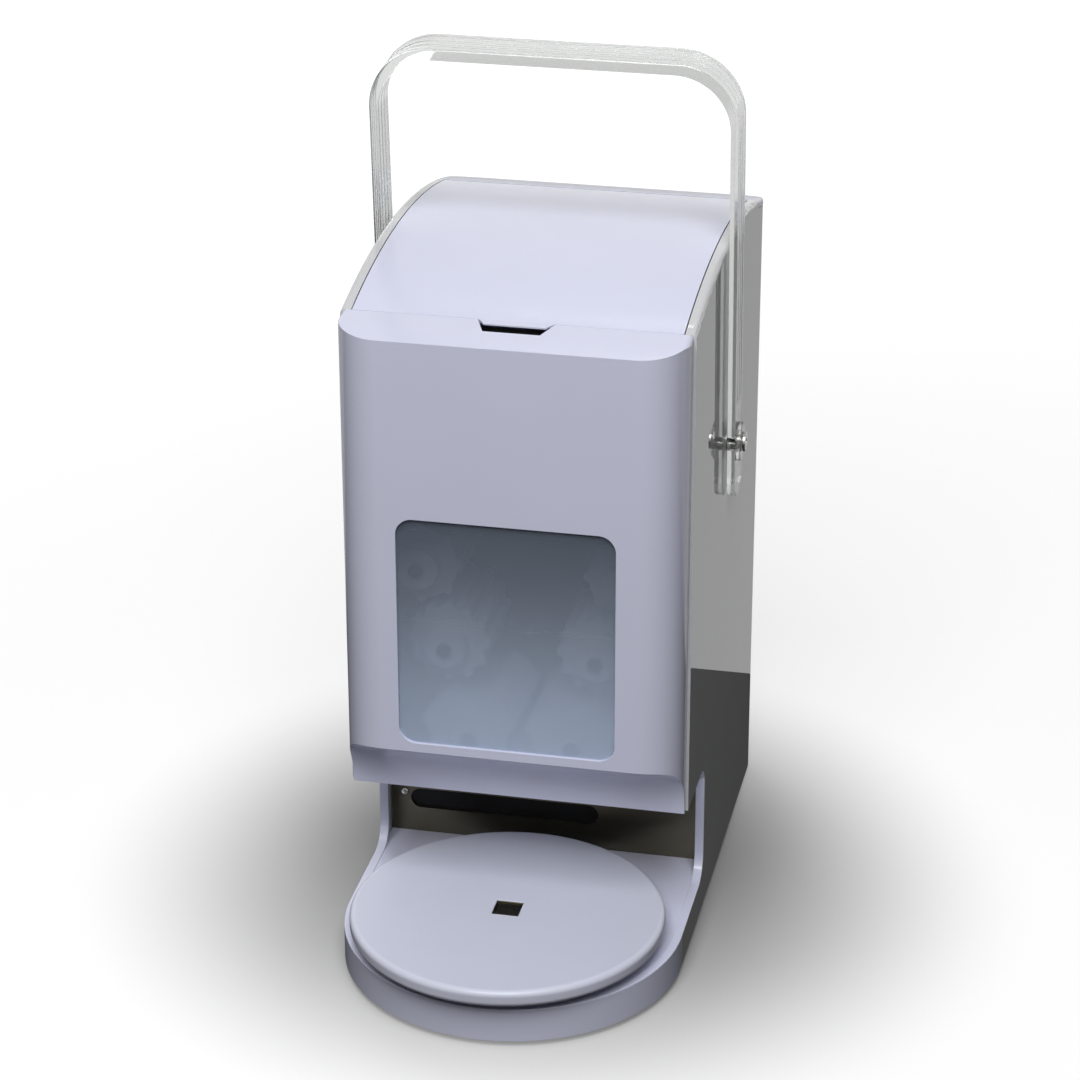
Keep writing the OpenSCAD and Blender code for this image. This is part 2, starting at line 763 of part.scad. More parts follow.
// Flanged bushes of the six shafts, in the back plate and in the bearing plate
module roller_bushes() {
    color("#c8a86a") placed() both() for (p = shaft_spots) {
        difference() {
            union() {
                bar_y(p[0], p[1], front_bush_r, plate_y - 2, plate_back + 0.5);
                bar_y(p[0], p[1], front_bush_r + 1.5, plate_back, plate_back + 1.5);
            }
            bar_y(p[0], p[1], shaft_r + run_c, plate_y - 9, plate_back + 9);
        }
        difference() {
            union() {
                bar_y(p[0], p[1], rear_bush_r, bearing_y - 0.5, bearing_back + 3);
                bar_y(p[0], p[1], rear_bush_r + 1.5, bearing_y - 1.5, bearing_y);
            }
            bar_y(p[0], p[1], shaft_r + run_c, bearing_y - 9, bearing_back + 9);
        }
    }
}
// Shaft with its belt pulley, along Y at one of the spots
module shaft_bar(p, bare_end) {
    bar_y(p[0], p[1], shaft_r, guard_y + 0.3, bearing_back + 2.5);
    translate([p[0], pulley_y + belt_w + 2.2, p[1]]) rotate([90, 0, 0]) pulley(pulley_r, belt_w + 2.2);
    if (bare_end) bar_y(p[0], p[1], shaft_r + 1.5, gear_y, pulley_y);
}
module forming_shaft_left() {
    color("#a7a9a6") placed() {
        shaft_bar([-form_x, form_z], false);
        translate([-form_x, gear_y + gear_w, form_z]) rotate([90, 0, 0])
            linear_extrude(gear_w) gear_plan(gear_n);
    }
}
module forming_shaft_right() {
    color("#a7a9a6") placed() {
        shaft_bar([form_x, form_z], false);
        translate([form_x, gear_y + gear_w, form_z]) rotate([90, 0, 0])
            linear_extrude(gear_w) gear_plan(gear_n);
    }
}
module feed_shaft_left() {
    color("#a7a9a6") placed() shaft_bar([-feed_x, feed_z], true);
}
module feed_shaft_right() {
    color("#a7a9a6") placed() shaft_bar([feed_x, feed_z], true);
}
module agitator_shaft_left() {
    color("#a7a9a6") placed() shaft_bar([-agit_x, agit_z], true);
}
module agitator_shaft_right() {
    color("#a7a9a6") placed() shaft_bar([agit_x, agit_z], true);
}

// Forming roller: four pockets, each of which shapes half a rice ball
module forming_roller(x) {
    r = form_x - roller_clear;
    translate([x, 0, form_z]) difference() {
        along_y(roller_y, roller_end) difference() {
            circle(r, $fn = 144);
            for (a = [0:90:270]) rotate(a) translate([r + 5.5, 0]) circle(13);
        }
        bar_y(0, 0, shaft_r, 0, 200);
        bar_y(0, 0, shaft_r + 1, 0, roller_y + 3);
    }
}
module forming_roller_left() {
    color("#eef1f6") placed() forming_roller(-form_x);
}
module forming_roller_right() {
    color("#eef1f6") placed() forming_roller(form_x);
}
// Feed or agitator roller: round lobes about a core, with a plain front hub
module lobed_roller(p, r, lobes) {
    lobe = 3;
    translate([p[0], 0, p[1]]) difference() {
        union() {
            along_y(feed_y, roller_end) {
                circle(r - lobe);
                for (i = [0:lobes - 1]) rotate(i * 360 / lobes) translate([r - lobe, 0])
                    circle(lobe, $fn = 24);
            }
            bar_y(0, 0, r / 2, roller_y, feed_y + 1);
        }
        bar_y(0, 0, shaft_r, 0, 200);
    }
}
module feed_roller_left() {
    color("#dfe4ee") placed() lobed_roller([-feed_x, feed_z], feed_r, 12);
}
module feed_roller_right() {
    color("#dfe4ee") placed() lobed_roller([feed_x, feed_z], feed_r, 12);
}
module agitator_roller_left() {
    color("#dfe4ee") placed() lobed_roller([-agit_x, agit_z], agit_r, 8);
}
module agitator_roller_right() {
    color("#dfe4ee") placed() lobed_roller([agit_x, agit_z], agit_r, 8);
}

// Belt round the three pulleys of one side
module drive_belt() {
    along_y(pulley_y + 1.1, pulley_y + 1.1 + belt_w) difference() {
        three_pulley_loop(pulley_r + 0.3 + belt_t);
        three_pulley_loop(pulley_r + 0.3);
    }
}
module three_pulley_loop(r) {
    for (i = [0:2]) {
        p = shaft_spots[i];
        q = shaft_spots[(i + 1) % 3];
        d = q - p;
        n = r * [d[1], -d[0]] / norm(d);
        translate(p) circle(r);
        polygon([p + n, q + n, q - n, p - n]);
    }
    polygon(shaft_spots);
}
module drive_belt_left() {
    color("#222326") placed() mirror([1, 0, 0]) drive_belt();
}
module drive_belt_right() {
    color("#222326") placed() drive_belt();
}

module control_board() {
    color("#2d6b45") placed() {
        translate([-board[0] / 2, board_y, control_z + 40]) cube(board);
        for (x = [-34, -8, 22], z = [60, 95, 130])
            translate([x, board_y - 6.4, control_z + z]) cube([14, 6.5, 18]);
    }
}
module power_supply() {
    color("#b7babd") placed() translate([-plate_half + 4, rear_front - 50 - supply[1], bottom_t])
        cube(supply);
}
module sensor_window() {
    color("#141416") placed() along_y(plate_back, plate_back + 1.5)
        round_rect(slot_x0 - slot_r - 1, slot_x1 + slot_r + 1, slot_z - slot_r - slot_lap,
            slot_z + slot_r + slot_lap, 3);
}
module sensor_board() {
    color("#2d6b45") placed() {
        translate([slot_x0 - 6, plate_back + 3.5, slot_z - 9]) cube([slot_x1 - slot_x0 + 12, 1.6, 18]);
        for (x = [slot_x0, (slot_x0 + slot_x1) / 2, slot_x1])
            translate([x - 4, plate_back + 1.5, slot_z - 4]) cube([8, 2.2, 8]);
    }
}

module handle_screws() {
    color("#c9cbc8") placed() both() {
        bar_x(pivot_y, pivot_z, pivot_r, half_w - wall - 6, strap_out + cap_t);
        bar_x(pivot_y, pivot_z, pivot_r + 2.2, half_w - wall - 4, half_w - wall);
        bar_x(pivot_y, pivot_z, pivot_r + 2, half_w, strap_in - 0.3);
        difference() {
            bar_x(pivot_y, pivot_z, pivot_r + 1.6, strap_out + cap_t + 0.3, strap_out + cap_t + 2);
            bar_x(pivot_y, pivot_z, 1.6, strap_out + cap_t + 0.8, strap_out + cap_t + 3);
        }
        bar_x(pivot_y, pivot_z, pivot_r, strap_out + 0.5, strap_out + cap_t + 0.6);
    }
}
// Side view of one leg and the bar, about the pivot
module strap_side() {
    translate([-strap_w / 2, -tail_l + strap_w / 2])
        square([strap_w, handle_reach + tail_l - strap_w / 2]);
    translate([0, -tail_l + strap_w / 2]) circle(strap_w / 2);
}
module strap_front(inset) {
    h = strap_out - inset;
    r = handle_r - inset;
    top = handle_reach - inset * bar_t / strap_t;
    translate([-h, -80]) square([2 * h, top - r + 80]);
    translate([-(h - r), -80]) square([2 * (h - r), top + 80]);
    for (s = [-1, 1]) translate([s * (h - r), top - r]) circle(r);
}
module handle_strap() {
    color("#d4d5d3", 0.6) placed() translate([0, pivot_y, pivot_z]) rotate([handle_lean, 0, 0])
        difference() {
            intersection() {
                along_y(-strap_w, strap_w) difference() {
                    strap_front(0);
                    strap_front(strap_t);
                }
                along_x(-200, 200) strap_side();
            }
            for (s = [-1, 0, 1]) translate([0, s * strap_w / 4, 0]) along_y(-1, 1) difference() {
                strap_front(-1);
                strap_front(0.8);
                translate([-200, -100]) square([400, 126]);
            }
            bar_x(0, 0, pivot_r + run_c, -300, 300);
        }
}
module handle_caps() {
    color("#d4d5d3", 0.6) placed() both() difference() {
        bar_x(pivot_y, pivot_z, strap_w / 2 - 1, strap_out, strap_out + cap_t);
        bar_x(pivot_y, pivot_z, pivot_r + run_c, 0, 300);
    }
}

// Ears under the roof cap that hold the lid's pins
module hinge_brackets() {
    color(STEEL) placed() both() difference() {
        union() {
            for (x = ear_spots()) {
                translate([x, hinge_y, hinge_z - ear_r]) cube([ear_w, 14, ear_r - arm_drop]);
                bar_x(hinge_y, hinge_z, ear_r, x, x + ear_w);
                translate([x, hinge_y + 6, hinge_z - 20]) cube([ear_w, 8, 20]);
            }
            translate([ear_spots()[0], hinge_y + 12, hinge_z - 20])
                cube([ear_spots()[1] - ear_spots()[0] + ear_w, 2, 18]);
        }
        bar_x(hinge_y, hinge_z, pin_r, 0, 300);
        roof_disc_above(wall);
    }
}
function ear_spots() = [lid_half - 35, lid_half - 15];
module lid_pins() {
    color("#c9cbc8") placed() both()
        bar_x(hinge_y, hinge_z, pin_r, ear_spots()[0] - ear_w, ear_spots()[1] + 2 * ear_w);
}

// Curved lid with a rolled rear edge and a finger tab over the cover's recess
module lid() {
    color(WHITE) placed() difference() {
        union() {
            intersection() {
                difference() {
                    roof_disc();
                    roof_disc(lid_t);
                }
                translate([-lid_half + seam, lid_y0, 250])
                    cube([2 * (lid_half - seam), hinge_y - lid_y0, 200]);
            }
            bar_x(hinge_y, hinge_z, lid_t, -lid_half + seam, lid_half - seam);
            intersection() {
                difference() {
                    roof_disc(0, 300, 0, brow_mid);
                    roof_disc(lid_t, 300, 0, brow_mid);
                }
                linear_extrude(500) tab_plan(tab_w / 2, tab_l, lid_y0 + 1);
            }
            difference() {
                intersection() {
                    roof_disc(1);
                    translate([-lid_half + skirt_in, lid_y0 + 6, 250])
                        cube([2 * (lid_half - skirt_in), hinge_y - lid_y0 - 24, 200]);
                }
                roof_disc(lid_t + 5);
                translate([-lid_half + skirt_in + 2, lid_y0 + 8, 250])
                    cube([2 * (lid_half - skirt_in - 2), hinge_y - lid_y0 - 28, 200]);
            }
        }
        both() for (x = ear_spots()) along_x(x - 0.4, x + ear_w + 0.4)
            translate([hinge_y, hinge_z]) ear_notch();
        bar_x(hinge_y, hinge_z, pin_r + run_c, -300, 300);
    }
}
// Room that an ear and its arm need in the lid's barrel while the lid opens
module ear_notch() {
    reach = 12;
    circle(ear_r + 0.25);
    polygon([[-ear_r - 0.25, 0], [-ear_r - 0.25, -reach], [reach, -reach],
        [reach, reach * tan(lid_open + 3)], [0, 0]]);
}
// Trapezoid that narrows towards the front
module tab_plan(w, l, y) {
    polygon([[-w, y], [-w, y - 1], [-w + 3.1, y - 1 - l], [w - 3.1, y - 1 - l], [w, y - 1], [w, y]]);
}
module recess_plan(grow) {
    w = tab_w / 2 + 0.5 + grow;
    y0 = lid_y0 - recess_l - grow;
    polygon([[-w, lid_y0 + 1], [-w, lid_y0], [-w + 5.6, y0], [w - 5.6, y0], [w, lid_y0], [w, lid_y0 + 1]]);
}

module front_cover() {
    color(WHITE) placed() difference() {
        union() {
            difference() {
                intersection() {
                    translate([0, 0, lip_z]) linear_extrude(crown_z) cover_plan();
                    roof_disc(0, cover_half, roof_edge, brow_mid);
                }
                difference() {
                    intersection() {
                        linear_extrude(crown_z) cover_plan(wall, cover_d + 5);
                        roof_disc(wall, 300, 0, brow_mid);
                    }
                    bar_x(cove_y, lip_z, cove_r + wall, -300, 300);
                    translate([0, 0, tab_z - recess_deep - 2]) linear_extrude(60) recess_plan(2);
                }
            }
            both() for (z = hook_z()) {
                translate([cover_half - 6, cover_d - 6, z]) cube([2, 14, 10]);
                translate([cover_half - 6, cover_d - 6, z]) cube([4.4, 5.5, 10]);
            }
        }
        bar_x(cove_y, lip_z, cove_r, -300, 300);
        along_y(-5, wall + 1) round_rect(-win_w / 2, win_w / 2, win_z0, win_z1, win_r);
        translate([0, 0, tab_z - recess_deep]) linear_extrude(60) recess_plan(0);
    }
}
function hook_z() = [150, 262];

module window_pane() {
    color("#9fb0c4", 0.6) placed() {
        along_y(pane_y, pane_y + pane_t)
            round_rect(-pane_half, pane_half, win_z0 - 2, win_z1 + pane_lap, win_r);
        along_y(wall - 1, pane_y + 0.1) round_rect(-win_w / 2 + 0.2, win_w / 2 - 0.2, win_z0 + 0.2,
            win_z1 - 0.2, win_r - 0.2);
    }
}

// Sockets on the side panels that take the cover's hooks
module cover_catches() {
    color("#4a4c50") placed() both() for (z = hook_z()) difference() {
        translate([cover_half - 9, cover_d + 2, z - 3]) cube([half_w - wall - cover_half + 9, 10, 16]);
        translate([cover_half - 6.4, cover_d - 5, z - 0.4]) cube([2.8, 15, 10.8]);
    }
}

// Housings behind the rear panel that carry the rocker, the button and the dial
module control_switches() {
    color("#35373b") placed() {
        translate([-control_x, rocker_y, control_z]) {
            difference() {
                translate([-10, -12, -13]) cube([20, rear_front - rocker_y + 12, 26]);
                translate([-8, -6.5, -11]) cube([16, 30, 22]);
            }
            bar_x(0, 0, rocker_pin_r, -9, 9);
        }
        difference() {
            bar_y(0, control_z, button_r + 2, body_d - 16, rear_front);
            bar_y(0, control_z, button_r + 0.3, body_d - 11, body_d);
        }
        difference() {
            bar_y(control_x, control_z, 8, body_d - 16, rear_front);
            bar_y(control_x, control_z, 3 + run_c, body_d - 8.5, body_d);
        }
    }
}
module power_rocker() {
    color("#1f2023") placed() translate([-control_x, rocker_y, control_z]) rotate([rocker_tilt, 0, 0])
        difference() {
            along_x(-7.6, 7.6) polygon([[-4, -6], [-4, 6], [8.5, 9.4], [6, 0], [8.5, -9.4]]);
            bar_x(0, 0, rocker_pin_r + run_c, -9, 9);
        }
}
module start_button() {
    color("#3d9a5b") placed() bar_y(0, control_z, button_r, body_d - 8, body_d + 3);
}
module size_dial() {
    color("#26272a") placed() difference() {
        union() {
            bar_y(control_x, control_z, dial_r, body_d + 0.5, body_d + dial_l);
            bar_y(control_x, control_z, 3, body_d - 8, body_d + 1);
        }
        for (i = [0:17]) rotate_about_dial(i * 20) translate([dial_r + 0.6, 0, 0])
            bar_y(0, 0, 1.2, body_d + 2, body_d + dial_l + 1);
        translate([control_x - 0.6, body_d + dial_l - 0.8, control_z + 3]) cube([1.2, 2, dial_r - 4]);
    }
}
module rotate_about_dial(a) {
    translate([control_x, 0, control_z]) rotate([0, a, 0]) children();
}

base_plate();
base_tray();
side_panel_left();
side_panel_right();
rear_panel();
roof_cap();
back_plate();
bearing_plate();
plate_spacers();
hopper();
roller_guard();
guard_posts();
feet();
foot_screws();
rear_screws();
plate_screws();
power_inlet();
roller_motor();
table_motor();
motor_bracket();
table_bush();
table_belt();
roller_bushes();
drive_belt_left();
drive_belt_right();
control_board();
power_supply();
sensor_window();
sensor_board();
control_switches();
handle_screws();
hinge_brackets();
cover_catches();
front_cover();
window_pane();
lid();
lid_pins();
handle_strap();
handle_caps();
turntable();
turntable_hub();
table_pulley();
motor_pulley();
motor_pinion();
forming_roller_left();
forming_shaft_left();
forming_roller_right();
forming_shaft_right();
feed_roller_left();
feed_shaft_left();
feed_roller_right();
feed_shaft_right();
agitator_roller_left();
agitator_shaft_left();
agitator_roller_right();
agitator_shaft_right();
power_rocker();
start_button();
size_dial();
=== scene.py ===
"""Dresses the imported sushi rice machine: its shells, window, rollers, turntable and handle.

Lengths are in millimetres of the machine's own drawing frame until a piece is placed: X runs
across the machine, Y back from the front cover's face, and Z up from the base's lower edge.
An edge is the radius that sharp edges are rounded to.
"""
import json
import logging
import math
from dataclasses import dataclass, field
from enum import Enum
from typing import Iterable, Sequence

import bmesh
import bpy
from mathutils import Matrix, Vector

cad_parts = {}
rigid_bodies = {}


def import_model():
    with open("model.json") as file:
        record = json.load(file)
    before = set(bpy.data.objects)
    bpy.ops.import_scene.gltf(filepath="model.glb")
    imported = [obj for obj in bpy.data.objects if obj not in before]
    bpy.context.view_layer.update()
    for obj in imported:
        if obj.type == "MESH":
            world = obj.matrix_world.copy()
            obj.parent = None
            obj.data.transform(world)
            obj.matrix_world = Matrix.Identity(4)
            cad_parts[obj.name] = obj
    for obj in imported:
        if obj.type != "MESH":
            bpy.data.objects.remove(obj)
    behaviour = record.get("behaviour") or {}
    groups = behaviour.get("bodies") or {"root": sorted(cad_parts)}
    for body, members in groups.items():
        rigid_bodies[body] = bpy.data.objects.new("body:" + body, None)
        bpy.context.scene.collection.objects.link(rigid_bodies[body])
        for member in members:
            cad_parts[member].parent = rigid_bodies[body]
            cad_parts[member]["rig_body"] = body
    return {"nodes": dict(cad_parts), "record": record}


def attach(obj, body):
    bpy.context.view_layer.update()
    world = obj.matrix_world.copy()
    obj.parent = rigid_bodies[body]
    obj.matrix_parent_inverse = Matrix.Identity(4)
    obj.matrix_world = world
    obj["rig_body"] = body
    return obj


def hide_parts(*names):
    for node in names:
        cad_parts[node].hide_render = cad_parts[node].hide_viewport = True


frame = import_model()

Point = tuple[float, float, float]
Spot = tuple[float, float]
Mesh = bmesh.types.BMesh
Corner = bmesh.types.BMVert
Tree = bpy.types.NodeTree
Socket = bpy.types.NodeSocket

LOG = logging.getLogger("rice_machine")
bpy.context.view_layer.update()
MILLIMETRE = 0.001
DATUM = Vector((0.0, -108.3, 4.0))
TO_FRONT = Matrix.Rotation(math.radians(90), 3, "X")
TO_REAR = Matrix.Rotation(math.radians(-90), 3, "X")
TO_FLOOR = Matrix.Rotation(math.radians(180), 3, "X")
WALL_BACK = 291.0
FOOT_SPOTS = ((-60, -8), (60, -8), (-70, 251), (70, 251))
WHITE = (1.0, 1.0, 1.0, 1.0)
NOISE_SPAN = (0.3, 0.7)
COLOUR_DETAIL = 3.0
GLOSS_DETAIL = 4.0
RELIEF_DETAIL = 2.0
GLOSS_FINENESS = 3
COAT_ROUGHNESS = 0.08
BUMP_STRENGTH = 0.6


def feed(tree: Tree, node: bpy.types.Node, inputs: dict) -> None:
    """Give a node's inputs their values, or link them to the sockets that carry these.

    Args:
        tree: The nodes that it belongs to.
        node: The node.
        inputs: A value or a socket for each input, by name or place.
    """
    for name, value in inputs.items():
        if isinstance(value, bpy.types.NodeSocket):
            tree.links.new(value, node.inputs[name])
        else:
            node.inputs[name].default_value = value


def add_node(tree: Tree, kind: str, inputs: dict | None = None, **settings: str) -> bpy.types.Node:
    """Add a shader node.

    Args:
        tree: The nodes to add to.
        kind: Its type, without what all shader nodes start with.
        inputs: A value or a socket for each input, by name or place.
        settings: Its other settings.

    Returns:
        The node.
    """
    node = tree.nodes.new(f"ShaderNode{kind}")
    for name, value in settings.items():
        setattr(node, name, value)
    feed(tree, node, inputs or {})
    return node


def empty_material(name: str) -> tuple[bpy.types.Material, bpy.types.Node]:
    """Make a material that has only its output node, and return both."""
    material = bpy.data.materials.new(name)
    material.use_nodes = True
    material.node_tree.nodes.clear()
    return material, add_node(material.node_tree, "OutputMaterial")


class Relief(Enum):
    """Which way a finish's fine relief runs, as the stretch of its noise along X, Y and Z."""

    EVEN = (1.0, 1.0, 1.0)
    ALONG_X = (0.03, 1.0, 1.0)
    ALONG_Y = (1.0, 0.03, 1.0)
    ALONG_Z = (1.0, 1.0, 0.03)


@dataclass(frozen=True)
class Finish:
    """A surface finish and the shader that stands for it.

    Colours are linear. Scales are in cycles per metre, and depth is the relief's height in
    metres. Painted shade is a height where the colour is full, a height above which it is
    darkened, both in metres, and the share of it that is left there: shade painted into the
    colour, darker towards the top.
    """

    name: str
    colour: Point
    roughness: tuple[float, float]
    metallic: float = 0.0
    transmission: float = 0.0
    ior: float = 1.49
    coat: float = 0.0
    alpha: float = 1.0
    mottle: float = 0.03
    mottle_scale: float = 22.0
    relief: Relief = Relief.EVEN
    relief_scale: float = 700.0
    depth: float = 0.00001
    painted_shade: Point | None = None

    def material(self) -> bpy.types.Material:
        """Make the finish's material, or return the one already made."""
        title = f"{self.name}_finish"
        made = bpy.data.materials.get(title)
        if made:
            return made
        material = bpy.data.materials.new(title)
        material.use_nodes = True
        tree = material.node_tree
        place = add_node(tree, "TexCoord").outputs["Object"]
        feed(tree, tree.nodes["Principled BSDF"], {
            "Base Color": self._mottled(tree, place),
            "Roughness": self._gloss(tree, place),
            "Normal": self._grain(tree, place),
            "Metallic": self.metallic,
            "IOR": self.ior,
            "Transmission Weight": self.transmission,
            "Coat Weight": self.coat,
            "Coat Roughness": COAT_ROUGHNESS,
            "Alpha": self.alpha,
        })
        return material

    @staticmethod
    def _noise(tree: Tree, place: Socket, scale: float, stretch: Point, detail: float) -> Socket:
        """Add a noise on Object coordinates.

        Args:
            tree: The material's nodes.
            place: The texture coordinates.
            scale: Cycles per metre.
            stretch: How the pattern is stretched along each axis.
            detail: How many finer layers the noise has.

        Returns:
            The noise's value.
        """
        mapped = add_node(tree, "Mapping", {"Vector": place, "Scale": stretch})
        return add_node(tree, "TexNoise", {"Vector": mapped.outputs["Vector"], "Scale": scale,
                                           "Detail": detail}).outputs["Fac"]

    def _mottled(self, tree: Tree, place: Socket) -> Socket:
        """Let the colour drift a little over the surface.

        Args:
            tree: The material's nodes.
            place: The texture coordinates.

        Returns:
            The colour.
        """
        noise = self._noise(tree, place, self.mottle_scale, Relief.EVEN.value, COLOUR_DETAIL)
        ramp = add_node(tree, "ValToRGB", {"Fac": noise})
        shares = (1 - self.mottle, 1 + self.mottle)
        for element, position, share in zip(ramp.color_ramp.elements, NOISE_SPAN, shares):
            element.position = position
            element.color = (*(min(1.0, c * share) for c in self.colour), 1.0)
        colour = ramp.outputs["Color"]
        # Painted shade: a finish that has it is darkened towards its top.
        return self._with_painted_shade(tree, place, colour) if self.painted_shade else colour

    def _with_painted_shade(self, tree: Tree, place: Socket, colour: Socket) -> Socket:
        """Darken a colour with height, as the finish's painted shade says: shade painted into the
        colour.

        Args:
            tree: The material's nodes.
            place: The texture coordinates.
            colour: The full colour.

        Returns:
            The faded colour.
        """
        low, high, left = self.painted_shade
        parts = add_node(tree, "SeparateXYZ", {"Vector": place})
        # Painted shade: full colour at the low height, down to the share left at the high one.
        share = add_node(tree, "MapRange", {
            "Value": parts.outputs["Z"], "From Min": low, "From Max": high, "To Min": 1.0,
            "To Max": left}, interpolation_type="SMOOTHSTEP")
        return add_node(tree, "VectorMath", {0: colour, "Scale": share.outputs["Result"]},
                        operation="SCALE").outputs["Vector"]

    def _gloss(self, tree: Tree, place: Socket) -> Socket:
        """Let the gloss vary between the finish's two limits.

        Args:
            tree: The material's nodes.
            place: The texture coordinates.

        Returns:
            The roughness.
        """
        noise = self._noise(tree, place, self.mottle_scale * GLOSS_FINENESS, self.relief.value,
                            GLOSS_DETAIL)
        return add_node(tree, "MapRange", {
            "Value": noise, "From Min": NOISE_SPAN[0], "From Max": NOISE_SPAN[1],
            "To Min": self.roughness[0], "To Max": self.roughness[1]}).outputs["Result"]

    def _grain(self, tree: Tree, place: Socket) -> Socket:
        """Add the fine relief of moulding, brushing or turning.

        Args:
            tree: The material's nodes.
            place: The texture coordinates.

        Returns:
            The surface's normal.
        """
        noise = self._noise(tree, place, self.relief_scale, self.relief.value, RELIEF_DETAIL)
        return add_node(tree, "Bump", {"Height": noise, "Strength": BUMP_STRENGTH,
                                       "Distance": self.depth}).outputs["Normal"]


FINISHES: dict[str, Finish] = {f.name: f for f in (
    Finish("white_gloss", (0.69, 0.71, 0.87), (0.14, 0.2), coat=0.1, mottle=0.01,
           relief_scale=160, depth=0.000002),
    Finish("side_gloss", (0.62, 0.625, 0.64), (0.01, 0.02), mottle=0.015,
           relief_scale=60, depth=0.0000005),
    Finish("turntable_satin", (0.64, 0.66, 0.78), (0.32, 0.4), mottle=0.01, relief_scale=900,
           depth=0.000004),
    Finish("roller_white", (0.78, 0.84, 0.98), (0.32, 0.42), mottle=0.02, relief_scale=900),
    Finish("hopper_white", (0.72, 0.73, 0.76), (0.3, 0.4), mottle=0.03, relief_scale=900),
    # The pane has painted shade, darker towards its top, where the inside behind it lies in the
    # hood's shade.
    Finish("frosted_pane", (0.66, 0.78, 1.0), (0.3, 0.36), alpha=0.42,
           mottle=0.02, relief_scale=1400, depth=0.00002, painted_shade=(0.13, 0.262, 0.32)),
    Finish("clear_handle", (0.6, 0.61, 0.6), (0.1, 0.14), transmission=1.0, mottle=0.01,
           depth=0.000001),
    Finish("clear_sheet", (0.8, 0.86, 0.9), (0.04, 0.08), alpha=0.15, mottle=0.01,
           depth=0.000002),
    Finish("plate_steel", (0.14, 0.13, 0.095), (0.26, 0.36), metallic=1.0, mottle=0.08,
           relief=Relief.ALONG_X, relief_scale=2200),
    Finish("bright_steel", (0.56, 0.56, 0.55), (0.28, 0.4), metallic=1.0, mottle=0.06,
           relief=Relief.ALONG_Z, relief_scale=2200),
    Finish("screw_metal", (0.48, 0.48, 0.46), (0.2, 0.3), metallic=1.0, mottle=0.05,
           relief=Relief.ALONG_Y, relief_scale=2600),
    Finish("foot_rubber", (0.02, 0.02, 0.021), (0.7, 0.85), mottle=0.2, relief_scale=1500,
           depth=0.00005),
    Finish("bush_bronze", (0.55, 0.38, 0.16), (0.25, 0.38), metallic=1.0, mottle=0.12,
           relief=Relief.ALONG_Y, relief_scale=2200),
    Finish("motor_grey", (0.06, 0.065, 0.075), (0.4, 0.52), metallic=0.4, mottle=0.1,
           relief_scale=1200, depth=0.00003),
    Finish("pulley_metal", (0.6, 0.61, 0.63), (0.24, 0.34), metallic=1.0, mottle=0.05,
           relief=Relief.ALONG_Z, relief_scale=2400),
    Finish("board_green", (0.02, 0.13, 0.06), (0.25, 0.4), coat=0.4, mottle=0.25,
           mottle_scale=160, relief_scale=1800, depth=0.00003),
    Finish("black_plastic", (0.007, 0.007, 0.0075), (0.4, 0.52), ior=1.33, mottle=0.15,
           relief_scale=1600, depth=0.00003),
    Finish("button_green", (0.03, 0.27, 0.1), (0.2, 0.3), coat=0.3, mottle=0.06,
           relief_scale=900),
)}


def machine_point(x: float, y: float, z: float) -> Vector:
    """Return a point of the drawing frame, in metres of the part's own frame."""
    return (Vector((x, y, z)) + DATUM) * MILLIMETRE


@dataclass
class Piece:
    """A finished mesh on its way into the scene."""

    name: str
    slot: str
    body: str
    nodes: Sequence[str] = ()
    edge: float = 0.4
    edge_segments: int = 3
    edge_angle: float = 28.0
    flat_weight: int = 50

    def place_node(self) -> bpy.types.Object:
        """Place a copy of the piece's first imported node, with its edges rounded."""
        return self.place(merged_copy(self.nodes[0]), in_drawing=False)

    def place(self, mesh: Mesh, in_drawing: bool = True) -> bpy.types.Object:
        """Turn a mesh into an object that rides on its body and stands for its nodes.

        Args:
            mesh: The shape, which is freed.
            in_drawing: Whether it is in millimetres of the drawing frame.

        Returns:
            The object, at the origin, with its edges rounded.
        """
        if in_drawing:
            bmesh.ops.translate(mesh, verts=mesh.verts, vec=DATUM)
            bmesh.ops.scale(mesh, verts=mesh.verts, vec=(MILLIMETRE,) * 3)
        for face in mesh.faces:
            face.smooth = True
        data = bpy.data.meshes.new(self.name)
        mesh.to_mesh(data)
        mesh.free()
        piece = bpy.data.objects.new(self.name, data)
        bpy.context.scene.collection.objects.link(piece)
        data.materials.append(FINISHES[self.slot].material())
        self._round_edges(piece)
        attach(piece, self.body)
        if self.nodes:
            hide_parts(*self.nodes)
        LOG.info("%s: %d faces on %s", self.name, len(data.polygons), self.body)
        return piece

    def _round_edges(self, piece: bpy.types.Object) -> None:
        """Give the object's sharp edges their small radius."""
        if self.edge <= 0:
            return
        rounding = piece.modifiers.new("edges", "BEVEL")
        rounding.width = self.edge * MILLIMETRE
        rounding.segments = self.edge_segments
        rounding.limit_method = "ANGLE"
        rounding.angle_limit = math.radians(self.edge_angle)
        rounding.harden_normals = True
        rounding.miter_outer = "MITER_ARC"
        rounding.use_clamp_overlap = True
        shading = piece.modifiers.new("shading", "WEIGHTED_NORMAL")
        shading.weight = self.flat_weight
        shading.keep_sharp = True


def merged_copy(node: str, same: float = 0.000002, flat: float = 0.2) -> Mesh:
    """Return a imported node's mesh as one closed surface with its flat faces joined.

    Args:
        node: The node's name.
        same: How near two corners are the same one, in metres.
        flat: How far two faces may lean to count as flat, in degrees.

    Returns:
        The copy, in metres of the part's frame.
    """
    mesh = bmesh.new()
    mesh.from_mesh(frame["nodes"][node].data)
    bmesh.ops.remove_doubles(mesh, verts=mesh.verts, dist=same)
    bmesh.ops.dissolve_limit(mesh, angle_limit=math.radians(flat), verts=mesh.verts,
                             edges=mesh.edges, use_dissolve_boundaries=False)
    return mesh


